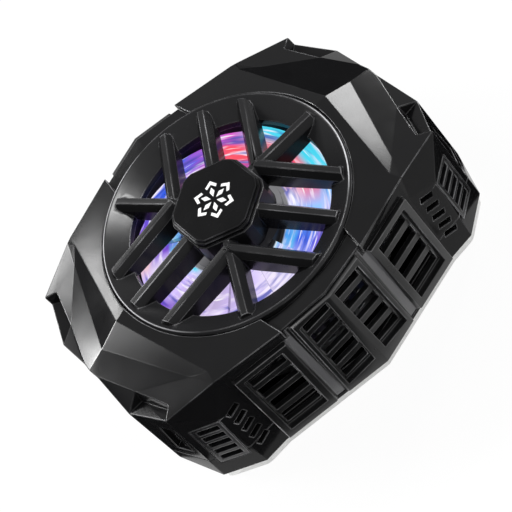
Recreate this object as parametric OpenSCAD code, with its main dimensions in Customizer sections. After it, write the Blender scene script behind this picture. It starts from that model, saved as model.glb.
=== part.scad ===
// Phone cooling fan: a faceted housing with a front fan over a heat sink, a thermoelectric module
// and a cold plate set in a soft rear pad with holding magnets. Millimetres, front face towards +Z.

/* [Housing] */
// Radius of the round rim around the fan
ring_r = 25; // [22.5:0.1:28]
// Length of each end past the rim
end_margin = 13.5; // [12.5:0.1:15]
// Width of each long side past the rim, at its middle
side_margin = 7.6; // [7.2:0.1:9]
// How far the long sides' ends lie inside the rim's radius
side_back = 2.5; // [2:0.1:3]
// Angle that each half of a long side turns back by
side_turn = 11.3; // [9:0.1:12]
// Angle that the side walls lean in by
lean = 6.8; // [6:0.1:7.6]
// Thickness of the housing walls
wall = 2.6; // [2.4:0.1:3]
// Height of the space above the fan's screws, up to the front cover's ceiling
head_room = 3; // [2.5:0.1:3.5]

/* [Front facets] */
// Width of the front plate past the rim at each end
plate_margin = 2.7; // [2.2:0.1:3.5]
// Height above the rim where the four planes of the front plate would meet
plate_rise = 1.9; // [1.6:0.1:2.3]
// Fall of the front plate along its length, per millimetre
plate_fall_x = 0.066; // [0.05:0.002:0.08]
// Fall of the front plate across its width, per millimetre
plate_fall_y = 0.076; // [0.06:0.002:0.09]
// Half of the length of the lower panels at the middle of each side
step_x = 9.8; // [9.4:0.1:10.2]
// How far the lower panels lie below the rim at the middle
step_drop = 0.9; // [0.6:0.1:1.3]
// Fall of the lower panels along the side, per millimetre
step_fall = 0.07; // [0.05:0.01:0.09]
// How far the step slants outwards inside the rim
step_slant = 2.2; // [1.6:0.1:2.6]
// How far the plate overhangs the side wall at the step
step_overhang = 0.8; // [0.4:0.1:1]
// Where the plate's end slope stops, as a share of the plate edge
edge_share = 0.9; // [0.85:0.01:0.95]
// Ridge foot on each end: back from the end, down from the rim
ridge_foot = [5.3, 2.3]; // [0:0.1:30]
// End of the ridge foot line by the plate corner: back from the end, in from the side's end
slope_end = [12.7, 8.2]; // [0:0.1:30]
// Point on the ridge at the end: back from the end
nose_back = 0.9; // [0.5:0.1:1.5]
// Upper point of the end chamfer: back from the end, out from the middle, down from the rim
brow_in = [4.1, 10.9, 3.9]; // [0:0.1:30]
// Start of the end chamfer near the ridge: back from the end, out from the middle
brow_start = [1.1, 2.2]; // [0:0.1:30]
// Low outer point of the end chamfer: back from the end, out from the middle, down from the rim
brow_out = [0.4, 11.3, 6.5]; // [0:0.1:30]
// Inner corner of the notch: back from the end, in from the side's end
notch_in = [6.6, 8.5]; // [0:0.1:30]
// Depth of the notch floor's two inner corners below the rim
notch_floor = [6.5, 5.8]; // [5.5:0.1:6.8]
// Slant of the notch walls: outwards, along the end
notch_slant = [0.4, 0.6]; // [0:0.1:1]
// Tip of each corner: back from the end, in from the side's end, down from the rim
tip_at = [4.25, 6.8, 3.7]; // [0:0.05:30]
// Drop from the tip to the notch floor's outer corner: inwards, down
tip_drop = [1.1, 1.5]; // [0.5:0.1:2]
// Corner facet: back end of its bright edge, out from the side end and in from the plate corner
brow_edge = [1.1, 0.4]; // [0:0.1:3]
// Corner facet: drop of its low edge below the rim at the side, at the middle and at the end
facet_drop = [6.1, 8.5, 7.2]; // [5.5:0.1:9.5]
// Corner between the two corner walls at its foot: past the side end, in from the side wall
corner_at = [5.25, 0.15]; // [0:0.05:8]
// Lean of that corner up to the facet: outwards along the length, inwards
corner_lean = [0.35, 2.25]; // [0:0.05:3]
// Foot of each corner: back from the end, in from the side's end
foot_at = [3.3, 4.9]; // [0:0.1:30]
// Half of the width of the end wall at its foot
end_half = 14.7; // [14:0.1:15.5]
// How far the end wall bows out at its middle
end_bow = 0.1; // [0.05:0.05:0.3]
// How much narrower the end wall is at its very foot
end_taper = 1; // [0.5:0.1:1.5]
// Rear chamfer of the ends: height, depth
end_chamfer = [3.5, 2.3]; // [1:0.1:4]

/* [Side vents] */
// How far the vent panels stand proud of the side walls
panel_proud = 0.9; // [0.6:0.1:1]
// Thickness of a vent panel
panel_t = 2.6; // [2.4:0.1:2.7]
// How far a panel stops short of the side's end
panel_short = 0.6; // [0.3:0.1:1]
// Height of a panel's lower edge
panel_low = 0.9; // [0.6:0.1:1.2]
// How far the outer blocks stop below the rim
block_drop = 4; // [3.7:0.1:4.5]
// Gap under the front edge above the middle blocks
block_gap = 0.5; // [0.3:0.1:1]
// Width of the groove between blocks
groove_w = 1.7; // [1.2:0.1:2.2]
// Depth of the groove between blocks
groove_d = 1; // [0.6:0.1:1.2]
// Width of the frame around a vent
frame_w = 1.4; // [1.2:0.1:1.6]
// Depth of a vent's frame
frame_d = 1.4; // [1:0.1:1.6]
// Width of the bars between slots
bar_w = 1.4; // [1.2:0.1:1.6]
// Slots in an outer block and in a middle block
slots = [4, 5]; // [3:1:6]
// Margin of a block below and above its vent
vent_margin = [1.7, 1.2]; // [1:0.1:2]
// Rise of the middle blocks' vents towards the middle
vent_rise = 1.2; // [0.8:0.1:1.3]

/* [Corner and end vents] */
// Louver insert: width, height, thickness
louver = [5.8, 12.2, 1.6]; // [1:0.1:14]
// Height of the louver's lower edge along the wall
louver_low = 4.2; // [3.8:0.1:4.4]
// Fins in a louver
louver_fins = 5; // [4:1:6]
// Thickness of a louver fin
louver_fin_t = 0.8; // [0.6:0.1:1]
// Corner slot: length, height
corner_slot = [2.8, 1.2]; // [0.8:0.1:3]
// Tilt of the corner slots
corner_slot_tilt = 20; // [10:1:24]
// Corner slots in a row
corner_slots = 5; // [4:1:6]
// Distance between corner slots
corner_slot_step = 2.7; // [2.5:0.1:2.8]
// Height of the lowest corner slot along the wall
corner_slot_low = 5.4; // [5:0.1:5.6]
// End window: width, height, depth
end_window = [3.6, 8, 1]; // [0.5:0.1:9]
// Height of the end window's lower edge along the wall
end_window_low = 5; // [4.6:0.1:6]
// Width of the bar across the end window
end_window_bar = 1; // [0.8:0.1:1.4]

/* [Grille] */
// Width of the seat that carries the grille
seat_w = 1.5; // [1.2:0.1:1.7]
// Thickness of the seat
seat_t = 3.5; // [3:0.1:4]
// Thickness of the grille's rim on its seat
rim_t = 4; // [3.6:0.1:4.5]
// Width of the rim's rounded lip
lip_w = 0.9; // [0.6:0.1:1.2]
// Width of the dished rim, at the corners of the opening
rim_w = 4; // [3.6:0.1:4.5]
// Depth of the dish
dish_d = 2.5; // [2:0.1:3]
// Width of a spoke at its root
spoke_w = 3; // [2.6:0.1:3.4]
// Width of a spoke's flat top
spoke_top_w = 1.2; // [0.8:0.1:1.6]
// Height of a spoke's sloped flanks
spoke_flank = 1.5; // [1:0.1:2]
// Gap between the fan and the grille above it
grille_gap = 0.5; // [0.4:0.1:0.8]
// Height of a spoke's top beside the hub, above the rim
spoke_rise = 1.5; // [1.2:0.1:1.8]
// Angle that the spokes fall outwards by
spoke_tilt = 5; // [3:0.5:6]
// How far the spokes end inside the rim
spoke_back = 1.6; // [1.2:0.1:2.2]
// Distance of the side spokes from the middle one
spoke_step = 8.5; // [8:0.1:9]
// Corner radius of the hexagonal hub
hub_r = 9.7; // [9.4:0.1:10]
// Height of the hub's seat for its cap, above the spokes
hub_rise = 0.2; // [0.1:0.1:0.6]
// Thickness of the hub cap
cap_t = 1.4; // [1.1:0.1:1.8]
// Height of the cap's raised face
cap_step = 0.6; // [0.4:0.1:0.8]
// How far the cap lies inside the hub's edge
cap_inset = 0.4; // [0.2:0.1:0.6]
// How much the hub's corners are rounded back
hub_round = 0.5; // [0.3:0.1:0.7]
// Radius of the cap's locating peg
peg_r = 2.5; // [2:0.1:3]
// Length of the cap's locating peg
peg_l = 2; // [1.5:0.1:2.5]

/* [Fan] */
// Gap between the blades' tips and the opening
tip_gap = 0.6; // [0.5:0.1:1]
// Number of blades
blades = 13; // [11:1:15]
// Height of the blades
blade_h = 3.2; // [2.8:0.1:3.6]
// How far the blades lie below the top of their hub
blade_drop = 0.3; // [0.2:0.1:0.5]
// Thickness of a blade
blade_t = 0.9; // [0.7:0.1:1.1]
// Blade overlap on the next blade, in degrees
blade_lap = 4; // [2:0.5:6]
// Wall of the impeller's hub
hub_wall = 1; // [0.8:0.1:1.2]
// Gap between the fan and the pieces below it
fan_gap = 0.6; // [0.5:0.1:0.8]
// Radius of the motor shaft
shaft_r = 1; // [0.8:0.05:1.2]
// Wall of the bearing bush
bush_wall = 1.15; // [1:0.05:1.3]
// Thickness of the thrust plate under the shaft
thrust_t = 0.5; // [0.4:0.1:0.6]
// Wall of the bearing tube
tube_wall = 0.8; // [0.7:0.1:1]
// Radius of the stator core
core_r = 7; // [6.6:0.1:7.2]
// Thickness of the stator core
core_t = 2.4; // [2:0.1:2.6]
// Poles of the stator
poles = 6; // [4:1:6]
// Width of a stator pole
pole_w = 1.6; // [1.4:0.1:1.8]
// Width of a stator pole's shoe
shoe_w = 4.2; // [3.8:0.1:4.6]
// Thickness of a winding over the core
coil_t = 0.4; // [0.3:0.05:0.5]
// Gap between stator and rotor magnet
air_gap = 0.5; // [0.4:0.05:0.6]
// Thickness of the rotor magnet
magnet_t = 1; // [0.8:0.1:1.2]
// Thickness of the rotor's steel cup
yoke_t = 0.5; // [0.4:0.1:0.6]
// Thickness of the fan holder
holder_t = 1; // [0.8:0.1:1.2]
// How far the fan holder's disc and the motor board reach past the rotor magnet
holder_over = [1.1, 0.1]; // [0:0.1:2]
// Width of the fan holder's arms
arm_w = 4; // [3.5:0.1:5]
// Thickness of the motor board and the light board
thin_board_t = 0.8; // [0.6:0.1:1]

/* [Light ring] */
// Width of the light ring
light_w = 1.3; // [1.1:0.1:1.5]
// Number of lamps
lamps = 12; // [8:1:16]
// Lamp: length, width, height
lamp = [1.6, 1, 0.6]; // [0.4:0.1:2]

/* [Cooling stack] */
// Thickness of the rear cover's floor
floor_t = 2; // [1.8:0.1:2.4]
// Gap between the cold plate and the heat sink's posts
cold_gap = 0.55; // [0.4:0.05:0.8]
// Width and thickness of the cold plate's flange
cold_flange = [1.9, 1.2]; // [1:0.1:2.2]
// Width of the thermoelectric module
module_w = 27; // [24:1:31]
// Thickness of the module's ceramic plates
ceramic_t = 0.8; // [0.6:0.1:1]
// Height of the module's pellets
pellet_h = 2; // [1.6:0.1:2.2]
// Pellets along each side of the module
pellets = 8; // [6:1:8]
// Width of a pellet
pellet_w = 1.8; // [1.4:0.1:2]
// Gap between the module and the foam gasket
gasket_gap = 0.4; // [0.3:0.1:0.6]
// Width of the foam gasket's four sides
gasket_wall = 1.4; // [1:0.1:2]
// How much wider the heat sink is than the rim
sink_over = 1; // [0.8:0.1:1.2]
// Thickness of the heat sink's base
sink_t = 2.2; // [2:0.1:2.4]
// Height of the heat sink's fins
fin_h = 4; // [3.6:0.1:4.2]
// Thickness of a fin
fin_t = 0.9; // [0.7:0.1:1]
// Distance between fins
fin_step = 2.6; // [2.4:0.1:3]

/* [Rear] */
// Thickness of the soft rear pad
pad_h = 2.4; // [2.2:0.1:2.8]
// How far the pad lies inside the rear cover's edge
pad_inset = 0.4; // [0.2:0.1:1]
// Number of holding magnets
magnets = 16; // [12:1:18]
// Radius of a holding magnet
magnet_r = 2.3; // [2:0.1:2.4]
// Thickness of a holding magnet
magnet_h = 1.4; // [1:0.1:1.5]
// How far the circle of holding magnets lies inside the rim's radius
magnet_in = 0.6; // [0.2:0.1:1]

/* [Electronics] */
// Socket: depth, width, height
socket = [7.3, 9, 3.2]; // [3:0.1:10]
// Wall of the socket's shell
socket_wall = 0.35; // [0.3:0.05:0.4]
// Back wall of the socket's shell
socket_back_t = 0.8; // [0.6:0.1:1]
// Socket tongue: length, width, thickness
tongue = [5.4, 6.2, 0.7]; // [0.5:0.1:7]
// How far the socket's mouth lies inside the end wall
socket_back = 0.6; // [0.3:0.1:1]
// Gap around the socket in the end wall
socket_gap = 0.3; // [0.2:0.05:0.5]
// How far the control board reaches past the socket's back
board_back = 3.3; // [3.2:0.1:4]
// Width of the control board
board_w = 20; // [18:0.5:22]
// Thickness of the control board and of its chips
board_t = 1; // [0.8:0.1:1.2]
// First chip on the board: from its inner edge, in from its side, width
chip_a = [0.4, 3.6, 2.4]; // [0:0.1:5]
// Second chip on the board: from its inner edge, in from its other side, width
chip_b = [0.6, 3.6, 2]; // [0:0.1:5]
// Radius of the two leads of the module
lead_r = 0.6; // [0.5:0.05:0.7]
// How far the leads lie on the control board
lead_lap = 1.6; // [1:0.1:2]
// Distance between the two leads
lead_gap = 6; // [5:0.5:7]

/* [Screws] */
// Radius of a screw shank
screw_r = 0.9; // [0.8:0.05:1]
// Radius of a screw head
head_r = 1.7; // [1.5:0.1:1.8]
// Height of a screw head
head_h = 1; // [0.8:0.1:1.2]
// Length of the cross in a screw head
cross_l = 2; // [1.6:0.1:2.2]
// Width of the cross in a screw head
cross_w = 0.45; // [0.35:0.05:0.55]
// Wall around a screw in a post
post_wall = 1; // [0.9:0.1:1.1]
// Length of thread in a post
grip = 3; // [2.5:0.1:3.2]
// Housing screws: back from the end, out from the middle
housing_screw = [10.6, 15]; // [8:0.1:17]
// How far the heat sink's screws lie inside its edge
sink_screw_in = 2.6; // [2.4:0.1:2.8]
// Radius of the heat sink's bosses for the fan's screws
boss_r = 1.7; // [1.6:0.1:1.9]

/* [Fits] */
// Gap between pieces that clip or drop into each other
fit = 0.1; // [0.05:0.01:0.15]
// Radial clearance of a press fit
press = 0.01; // [0.01:0.005:0.02]
// Radial clearance of the shaft in its bush
running = 0.03; // [0.02:0.005:0.05]
// Clearance of a screw in its thread
thread_fit = 0.05; // [0.03:0.01:0.08]
// Clearance of a screw in a through hole
hole_fit = 0.2; // [0.1:0.05:0.3]

/* [Hidden] */
$fn = 96;

// A length past every wall, for cuts that run right through
far = 60;
// A small overlap that keeps a cut clear of the face it opens
eps = 0.05;
corner_signs = [[1, 1], [-1, 1], [-1, -1], [1, -1]];

// Levels from the pad's face up
rear_z = pad_h;
floor_z = rear_z + floor_t;
cold_top = floor_z + cold_flange[1];
pellet_z = cold_top + ceramic_t;
hot_z = pellet_z + pellet_h;
sink_z = hot_z + ceramic_t;
sink_top = sink_z + sink_t;
fin_top = sink_top + fin_h;
holder_top = fin_top + holder_t;
thin_top = holder_top + thin_board_t;
fan_hub_z = thin_top + fan_gap / 2;
room_z = holder_top + head_h + head_room;
seat_z = room_z + seat_t;
blade_z = seat_z - grille_gap - blade_drop - blade_h;
rim_z = seat_z + rim_t;
lead_z = pellet_z + pellet_h / 2;
board_z = lead_z - lead_r - board_t;
seam_z = board_z + board_t + socket[2] / 2;

// The same levels measured from the rear cover's back
room_h = room_z - rear_z;
rim_h = rim_z - rear_z;
block_h = rim_h - block_drop;
step_h = rim_h - step_drop;

// Reach of the housing and radii that follow the rim
end_x = ring_r + end_margin;
side_y = ring_r + side_margin;
side_run = ring_r - side_back;
window_r = ring_r - rim_w;
spoke_end_r = ring_r - spoke_back;
fan_r = window_r - tip_gap;
post_r = screw_r + thread_fit + post_wall;
sink_r = ring_r + sink_over;
sink_screw_circle = sink_r - sink_screw_in;
fan_screw_circle = sink_r - boss_r;
cold_edge_r = sink_screw_circle - post_r - cold_gap;
cold_r = cold_edge_r - cold_flange[0];
magnet_circle = ring_r - magnet_in;

// Radii of the motor from the shaft outwards
bush_r = shaft_r + running + bush_wall;
tube_r = bush_r + press + tube_wall;
core_hole_r = tube_r + press;
step_r = tube_r + tube_wall;
magnet_in_r = core_r + air_gap;
magnet_out_r = magnet_in_r + magnet_t;
yoke_r = magnet_out_r + press + yoke_t;
fan_hub_r = yoke_r + press + hub_wall;
holder_disc_r = magnet_out_r + holder_over[0];
motor_board_r = magnet_out_r + holder_over[1];

// Levels of the motor
core_z = thin_top + coil_t;
core_top = core_z + core_t;
tube_top = core_top + coil_t;
yoke_under = tube_top + fan_gap / 2;
yoke_top = yoke_under + yoke_t;
fan_top = max(yoke_top + hub_wall, blade_z + blade_h + blade_drop);
spoke_low_z = fan_top + grille_gap;
spoke_top_z = rim_z + spoke_rise;
hub_z = spoke_top_z + hub_rise;

// Points of one quarter of the faceted housing, heights above the rear cover's back
function wall_y(x, h, inset) = side_y - x * tan(side_turn) - (inset + h * tan(lean)) / cos(side_turn);
function plate_point(x, y) = [x, y, rim_h + plate_rise - plate_fall_x * x - plate_fall_y * y];
function plate_edge(x) =
  let (h = plate_point(x, wall_y(x, 0, panel_proud))[2] / (1 - plate_fall_y * tan(lean) / cos(side_turn)))
  [x, wall_y(x, h, panel_proud), h];
function step_point(x, y) = [x, y, step_h - step_fall * x];
function mix(p, q, t) = p + (q - p) * t;
function level_h(p, q, r, xy) =
  let (n = cross(q - p, r - p)) p[2] - (n[0] * (xy[0] - p[0]) + n[1] * (xy[1] - p[1])) / n[2];
function on_plane(p, q, r, xy) = [xy[0], xy[1], level_h(p, q, r, xy)];
function flat(p) = [p[0], p[1]];

inner_y = ring_r / 2;
peak = plate_point(0, 0);
inner_hi = plate_point(0, inner_y);
inner_lo = step_point(0, inner_y);
step_in_hi = plate_point(step_x + step_slant, inner_y);
step_in_lo = step_point(step_x + step_slant, inner_y);
step_lo = step_point(step_x, wall_y(step_x, step_h - step_fall * step_x, panel_proud));
step_hi = plate_point(step_x, step_lo[1] + step_overhang);
side_mid = step_point(0, wall_y(0, step_h, panel_proud));
band_low = [step_x, wall_y(step_x, block_h, panel_proud), block_h];
plate_end = plate_point(ring_r + plate_margin, 0);
side_foot = [side_run, wall_y(side_run, 0, panel_proud), 0];
plate_corner = plate_edge(side_run);
edge_end = mix(plate_end, plate_corner, edge_share);
ridge = [end_x - ridge_foot[0], 0, rim_h - ridge_foot[1]];
slope_foot = on_plane(plate_end, ridge, edge_end, [end_x - slope_end[0], side_foot[1] - slope_end[1]]);
brow = [end_x - brow_in[0], brow_in[1], rim_h - brow_in[2]];
nose = on_plane(ridge, slope_foot, brow, [end_x - nose_back, 0]);
brow_near = on_plane(ridge, slope_foot, brow, [end_x - brow_start[0], brow_start[1]]);
brow_low = [end_x - brow_out[0], brow_out[1], rim_h - brow_out[2]];
tip = [end_x - tip_at[0], side_foot[1] - tip_at[1], rim_h - tip_at[2]];
tip_low = tip - [0, tip_drop[0], tip_drop[1]];
notch = on_plane(slope_foot, brow, tip, [end_x - notch_in[0], side_foot[1] - notch_in[1]]);
notch_near = [brow[0] + notch_slant[0], brow[1] + notch_slant[1], rim_h - notch_floor[0]];
notch_far = [notch[0] + notch_slant[0], notch[1] - notch_slant[1], rim_h - notch_floor[1]];
edge_back = on_plane(slope_foot, brow, tip, [side_run + brow_edge[0], plate_corner[1] - brow_edge[1]]);
facet_side = mix(side_foot, plate_corner, (rim_h - facet_drop[0]) / plate_corner[2]);
corner_foot = [side_run + corner_at[0], side_foot[1] - corner_at[1], 0];
facet_mid = [corner_foot[0] + corner_lean[0], corner_foot[1] - corner_lean[1], rim_h - facet_drop[1]];
foot = [end_x - foot_at[0], side_foot[1] - foot_at[1], 0];
facet_end = mix(foot, tip, (rim_h - facet_drop[2]) / tip[2]);
foot_up = mix(foot, tip, end_chamfer[0] / tip[2]);
end_corner = [end_x - end_bow, end_half, end_chamfer[0]];
end_mid = [end_x, 0, end_chamfer[0]];
rear_corner = [end_x - end_chamfer[1], end_half - end_taper, 0];
rear_end = [end_x - end_chamfer[1], 0, 0];
rear_mid = [0, 0, 0];
side_low = [0, wall_y(0, 0, panel_proud), 0];

// Facets of the quarter, each a fan of triangles from its first point, counter-clockwise from outside
facets = [
  [step_in_hi, inner_hi, peak, plate_end, edge_end, plate_corner, step_hi],
  [inner_lo, step_in_lo, step_lo, side_mid],
  [inner_hi, step_in_hi, step_in_lo, inner_lo],
  [step_in_hi, step_hi, step_lo, step_in_lo],
  [step_hi, band_low, step_lo],
  [plate_corner, band_low, step_hi],
  [side_low, side_mid, step_lo, band_low, plate_corner, facet_side, side_foot],
  [plate_end, ridge, slope_foot, edge_end],
  [edge_end, slope_foot, edge_back, plate_corner],
  [ridge, nose, brow_near, brow, slope_foot],
  [notch, tip, edge_back, slope_foot, brow],
  [brow_near, brow_low, brow],
  [brow, brow_low, notch_near],
  [brow, notch_near, notch_far, notch],
  [notch, notch_far, tip_low, tip],
  [notch_near, brow_low, tip_low, notch_far],
  [facet_mid, facet_side, edge_back, tip, facet_end],
  [plate_corner, edge_back, facet_side],
  [facet_side, facet_mid, corner_foot, side_foot],
  [facet_mid, facet_end, foot_up, foot, corner_foot],
  [tip_low, brow_low, end_corner, foot_up, facet_end, tip],
  [end_mid, end_corner, brow_low, brow_near, nose],
  [end_mid, rear_end, rear_corner, end_corner],
  [end_corner, rear_corner, foot, foot_up],
  [rear_mid, side_low, side_foot, corner_foot, foot, rear_corner, rear_end]
];
quarter = [for (f = facets) for (i = [1:len(f) - 2]) [f[0], f[i], f[i + 1]]];
function placed(p, s) = [s[0] * p[0], s[1] * p[1], p[2] + rear_z];
function turned(t, s) = [for (i = s[0] * s[1] > 0 ? [2, 1, 0] : [0, 1, 2]) placed(t[i], s)];
form_faces = [for (s = corner_signs) for (t = quarter) turned(t, s)];

// Outlines of the whole housing, counter-clockwise from above
function reversed(list) = [for (i = [len(list) - 1:-1:0]) list[i]];
function start(list) = [for (i = [0:len(list) - 2]) list[i]];
function all_round(q) = concat(
  q,
  reversed([for (p = start(q)) [-p[0], p[1]]]),
  [for (p = q) [-p[0], -p[1]]],
  reversed([for (p = start(q)) [p[0], -p[1]]]));
function unit(v) = v / norm(v);
function inward(p, q) = let (d = unit(q - p)) [-d[1], d[0]];
function inset(list, d) = let (n = len(list)) [for (i = [0:n - 1])
  let (a = inward(list[(i + n - 1) % n], list[i]), b = inward(list[i], list[(i + 1) % n]))
  list[i] + d * (a + b) / (1 + a * b)];
top_outline = all_round([
  flat(brow_low), flat(facet_end), flat(facet_mid),
  [side_run, wall_y(side_run, room_h, panel_proud)], [0, wall_y(0, room_h, panel_proud)]]);
rear_outline = all_round([flat(rear_corner), flat(foot), flat(corner_foot), flat(side_foot), flat(side_low)]);
room = inset(top_outline, wall);

// Frames on the walls of one quarter: x to the right seen from outside, y up the wall, z outwards
module on_wall(left, right, above) {
  u = unit(right - left);
  n = unit(cross(right - left, above - left));
  v = cross(n, u);
  o = placed(left, [1, 1]);
  multmatrix([for (i = [0:2]) [u[i], v[i], n[i], o[i]]]) children();
}
module on_side() on_wall(side_foot, side_low, plate_corner) children();
module on_louver() on_wall(foot, corner_foot, facet_mid) children();
module on_corner() on_wall(corner_foot, side_foot, facet_side) children();
module on_end() on_wall(end_corner, foot_up, tip) children();
module both_ends() for (s = [0, 1]) mirror([s, 0, 0]) children();
module both_sides() for (s = [0, 1]) mirror([0, s, 0]) children();
module four_ways() both_sides() both_ends() children();

side_len = norm(side_low - side_foot);
block_edge = side_len - step_x / cos(side_turn);
middle_low = (step_h - step_fall * step_x - block_gap) / cos(lean);
middle_high = (step_h - block_gap) / cos(lean);
louver_wall = norm(corner_foot - foot);
louver_x = (louver_wall - louver[0]) / 2;
corner_wall = norm(side_foot - corner_foot);
end_window_x = (norm(foot_up - end_corner) - end_window[0]) / 2;
vent_low = panel_low + vent_margin[0];
// How far a cut reaches in behind a wall, and behind a long side's foot
reach = 3 * wall;
side_reach = wall + room_h * tan(lean) + eps;

module housing_form() {
  polyhedron(points = [for (t = form_faces) each t],
    faces = [for (i = [0:len(form_faces) - 1]) [3 * i, 3 * i + 1, 3 * i + 2]]);
}

// Outlines of a side panel's blocks on the wall, grown by a gap
function outer_block(gap) = [
  [panel_short - gap, panel_low - gap], [block_edge + eps, panel_low - gap],
  [block_edge + eps, block_h + gap], [panel_short - gap, block_h + gap]];
function middle_block(gap) = [
  [block_edge, panel_low - gap], [side_len + wall, panel_low - gap],
  [side_len + wall, middle_high + gap], [side_len, middle_high + gap], [block_edge, middle_low + gap]];
module panel_blocks(gap, depth) {
  linear_extrude(depth) polygon(outer_block(gap));
  linear_extrude(depth) polygon(middle_block(gap));
}
module panel_pocket() both_ends() intersection() {
  on_side() translate([0, 0, panel_proud - panel_t - fit]) panel_blocks(fit, far);
  translate([-eps, 0, 0]) cube([far, far, far]);
}

// Openings in the walls behind the vents, in to the space inside
outer_vent = [panel_short + frame_w, block_edge - groove_w / 2 - groove_d / 2 - frame_w];
middle_vent = [block_edge + groove_w / 2 + frame_w, side_len - frame_w];
opening_low = vent_low + vent_rise;
module wall_opening(x, y, w, h, depth) translate([x, y, -depth]) cube([w, h, depth + far / 10]);
module vent_openings() {
  four_ways() on_side() for (v = [outer_vent, middle_vent])
    wall_opening(v[0], opening_low, v[1] - v[0], room_h - wall / 2 - opening_low, side_reach);
  four_ways() on_louver() {
    wall_opening(louver_x - fit, louver_low - fit, louver[0] + 2 * fit, louver[1] + 2 * fit, louver[2]);
    wall_opening(louver_x + louver_fin_t, louver_low + louver_fin_t,
      louver[0] - 2 * louver_fin_t, louver[1] - 2 * louver_fin_t, reach);
  }
  four_ways() on_corner() for (i = [0:corner_slots - 1])
    translate([corner_wall / 2, corner_slot_low + corner_slot_step * i, 0]) rotate(corner_slot_tilt)
      wall_opening(-corner_slot[0] / 2, -corner_slot[1] / 2, corner_slot[0], corner_slot[1], reach);
  four_ways() on_end() {
    wall_opening(end_window_x, end_window_low, end_window[0], end_window[1], end_window[2]);
    for (x = [0, (end_window[0] + end_window_bar) / 2])
      wall_opening(end_window_x + x, end_window_low,
        (end_window[0] - end_window_bar) / 2, end_window[1], reach);
  }
}

socket_x = end_x - socket_back - socket[0];
module socket_space(gap) {
  translate([socket_x - gap, -socket[1] / 2 - gap, seam_z - socket[2] / 2 - gap])
    cube([far, socket[1] + 2 * gap, socket[2] + 2 * gap]);
}

screw_xy = [end_x - housing_screw[0], housing_screw[1]];
sink_angles = [0, 90, 180, 270];
fan_angles = [45, 135, 225, 315];
module round_posts(angles, circle_r) for (a = angles) rotate(a) translate([circle_r, 0, 0]) children();

// A screw with its head upwards and its shank below
module screw(length) {
  difference() {
    union() {
      translate([0, 0, -length]) cylinder(r = screw_r, h = length);
      cylinder(r = head_r, h = head_h);
    }
    for (a = [0, 90]) rotate(a) translate([-cross_l / 2, -cross_w / 2, head_h / 2])
      cube([cross_l, cross_w, head_h]);
  }
}

module front_cover() color("#26272a") difference() {
  union() {
    difference() {
      housing_form();
      linear_extrude(room_z) polygon(room);
    }
    four_ways() translate([screw_xy[0], screw_xy[1], seam_z])
      cylinder(r = post_r, h = room_z - seam_z + eps);
  }
  translate([-far, -far, -far]) cube([2 * far, 2 * far, far + seam_z]);
  translate([0, 0, seat_z]) cylinder(r = ring_r + fit, h = far);
  translate([0, 0, rear_z]) cylinder(r = ring_r - seat_w, h = far);
  four_ways() translate([screw_xy[0], screw_xy[1], seam_z - eps])
    cylinder(r = screw_r + thread_fit, h = grip + head_h);
  both_sides() panel_pocket();
  vent_openings();
  socket_space(socket_gap);
}

head_seat = rear_z + head_h + hole_fit;
board_x = socket_x - board_back;
board_l = end_x - wall - socket_back - board_x;
board_posts = [for (s = [-1, 1]) [board_x + board_l / 2, s * (board_w / 2 - post_r)]];
module rear_cover() color("#1d1e20") difference() {
  union() {
    difference() {
      housing_form();
      translate([0, 0, floor_z]) linear_extrude(far) polygon(room);
    }
    round_posts(sink_angles, sink_screw_circle) translate([0, 0, floor_z - eps])
      cylinder(r = post_r, h = sink_z - floor_z + eps);
    four_ways() translate([screw_xy[0], screw_xy[1], floor_z - eps])
      cylinder(r = head_r + post_wall, h = seam_z - floor_z + eps);
    for (p = board_posts) translate([p[0], p[1], floor_z - eps])
      cylinder(r = post_r, h = board_z - floor_z + eps);
  }
  translate([-far, -far, seam_z]) cube([2 * far, 2 * far, far]);
  cylinder(r = cold_r + fit, h = far);
  round_posts(sink_angles, sink_screw_circle) translate([0, 0, sink_z - grip - head_h])
    cylinder(r = screw_r + thread_fit, h = far);
  four_ways() translate([screw_xy[0], screw_xy[1], 0]) {
    cylinder(r = screw_r + hole_fit, h = far);
    cylinder(r = head_r + hole_fit, h = head_seat);
  }
  for (p = board_posts) translate([p[0], p[1], floor_z]) cylinder(r = screw_r + thread_fit, h = far);
  magnet_places() cylinder(r = magnet_r + fit, h = magnet_h + rear_z);
  both_sides() panel_pocket();
  vent_openings();
  socket_space(socket_gap);
}

// Half of a long side's panel: an outer block, a groove, and a middle block that meets its mirror image
module panel_half() intersection() {
  on_side() translate([0, 0, panel_proud - panel_t]) difference() {
    panel_blocks(0, panel_t);
    translate([block_edge, far, panel_t - groove_d]) rotate([90, 0, 0]) linear_extrude(2 * far)
      polygon([[-groove_w / 2, 0], [groove_w / 2, 0],
        [groove_w / 2 + groove_d, 2 * groove_d], [-groove_w / 2 - groove_d, 2 * groove_d]]);
    vent(outer_vent, slots[0], block_h - vent_margin[1], 0);
    vent(middle_vent, slots[1], middle_low - vent_margin[1], vent_rise);
  }
  cube([far, far, far]);
}
module vent(span, count, high, rise) {
  pitch = (high - vent_low) / count;
  translate([0, 0, panel_t - frame_d]) linear_extrude(far) polygon(slant(span, 0, vent_low, high, rise));
  for (low = [for (i = [0:count - 1]) vent_low + i * pitch + bar_w / 2])
    translate([0, 0, -far / 2]) linear_extrude(far)
      polygon(slant(span, bar_w / 4, low, low + pitch - bar_w, rise));
}
function slant(span, side, low, high, rise) = [
  [span[0] + side, low], [span[1] - side, low + rise], [span[1] - side, high + rise], [span[0] + side, high]];
module vent_panel() both_ends() panel_half();
module left_vent_panel() color("#303135") vent_panel();
module right_vent_panel() color("#303135") mirror([0, 1, 0]) vent_panel();

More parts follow.
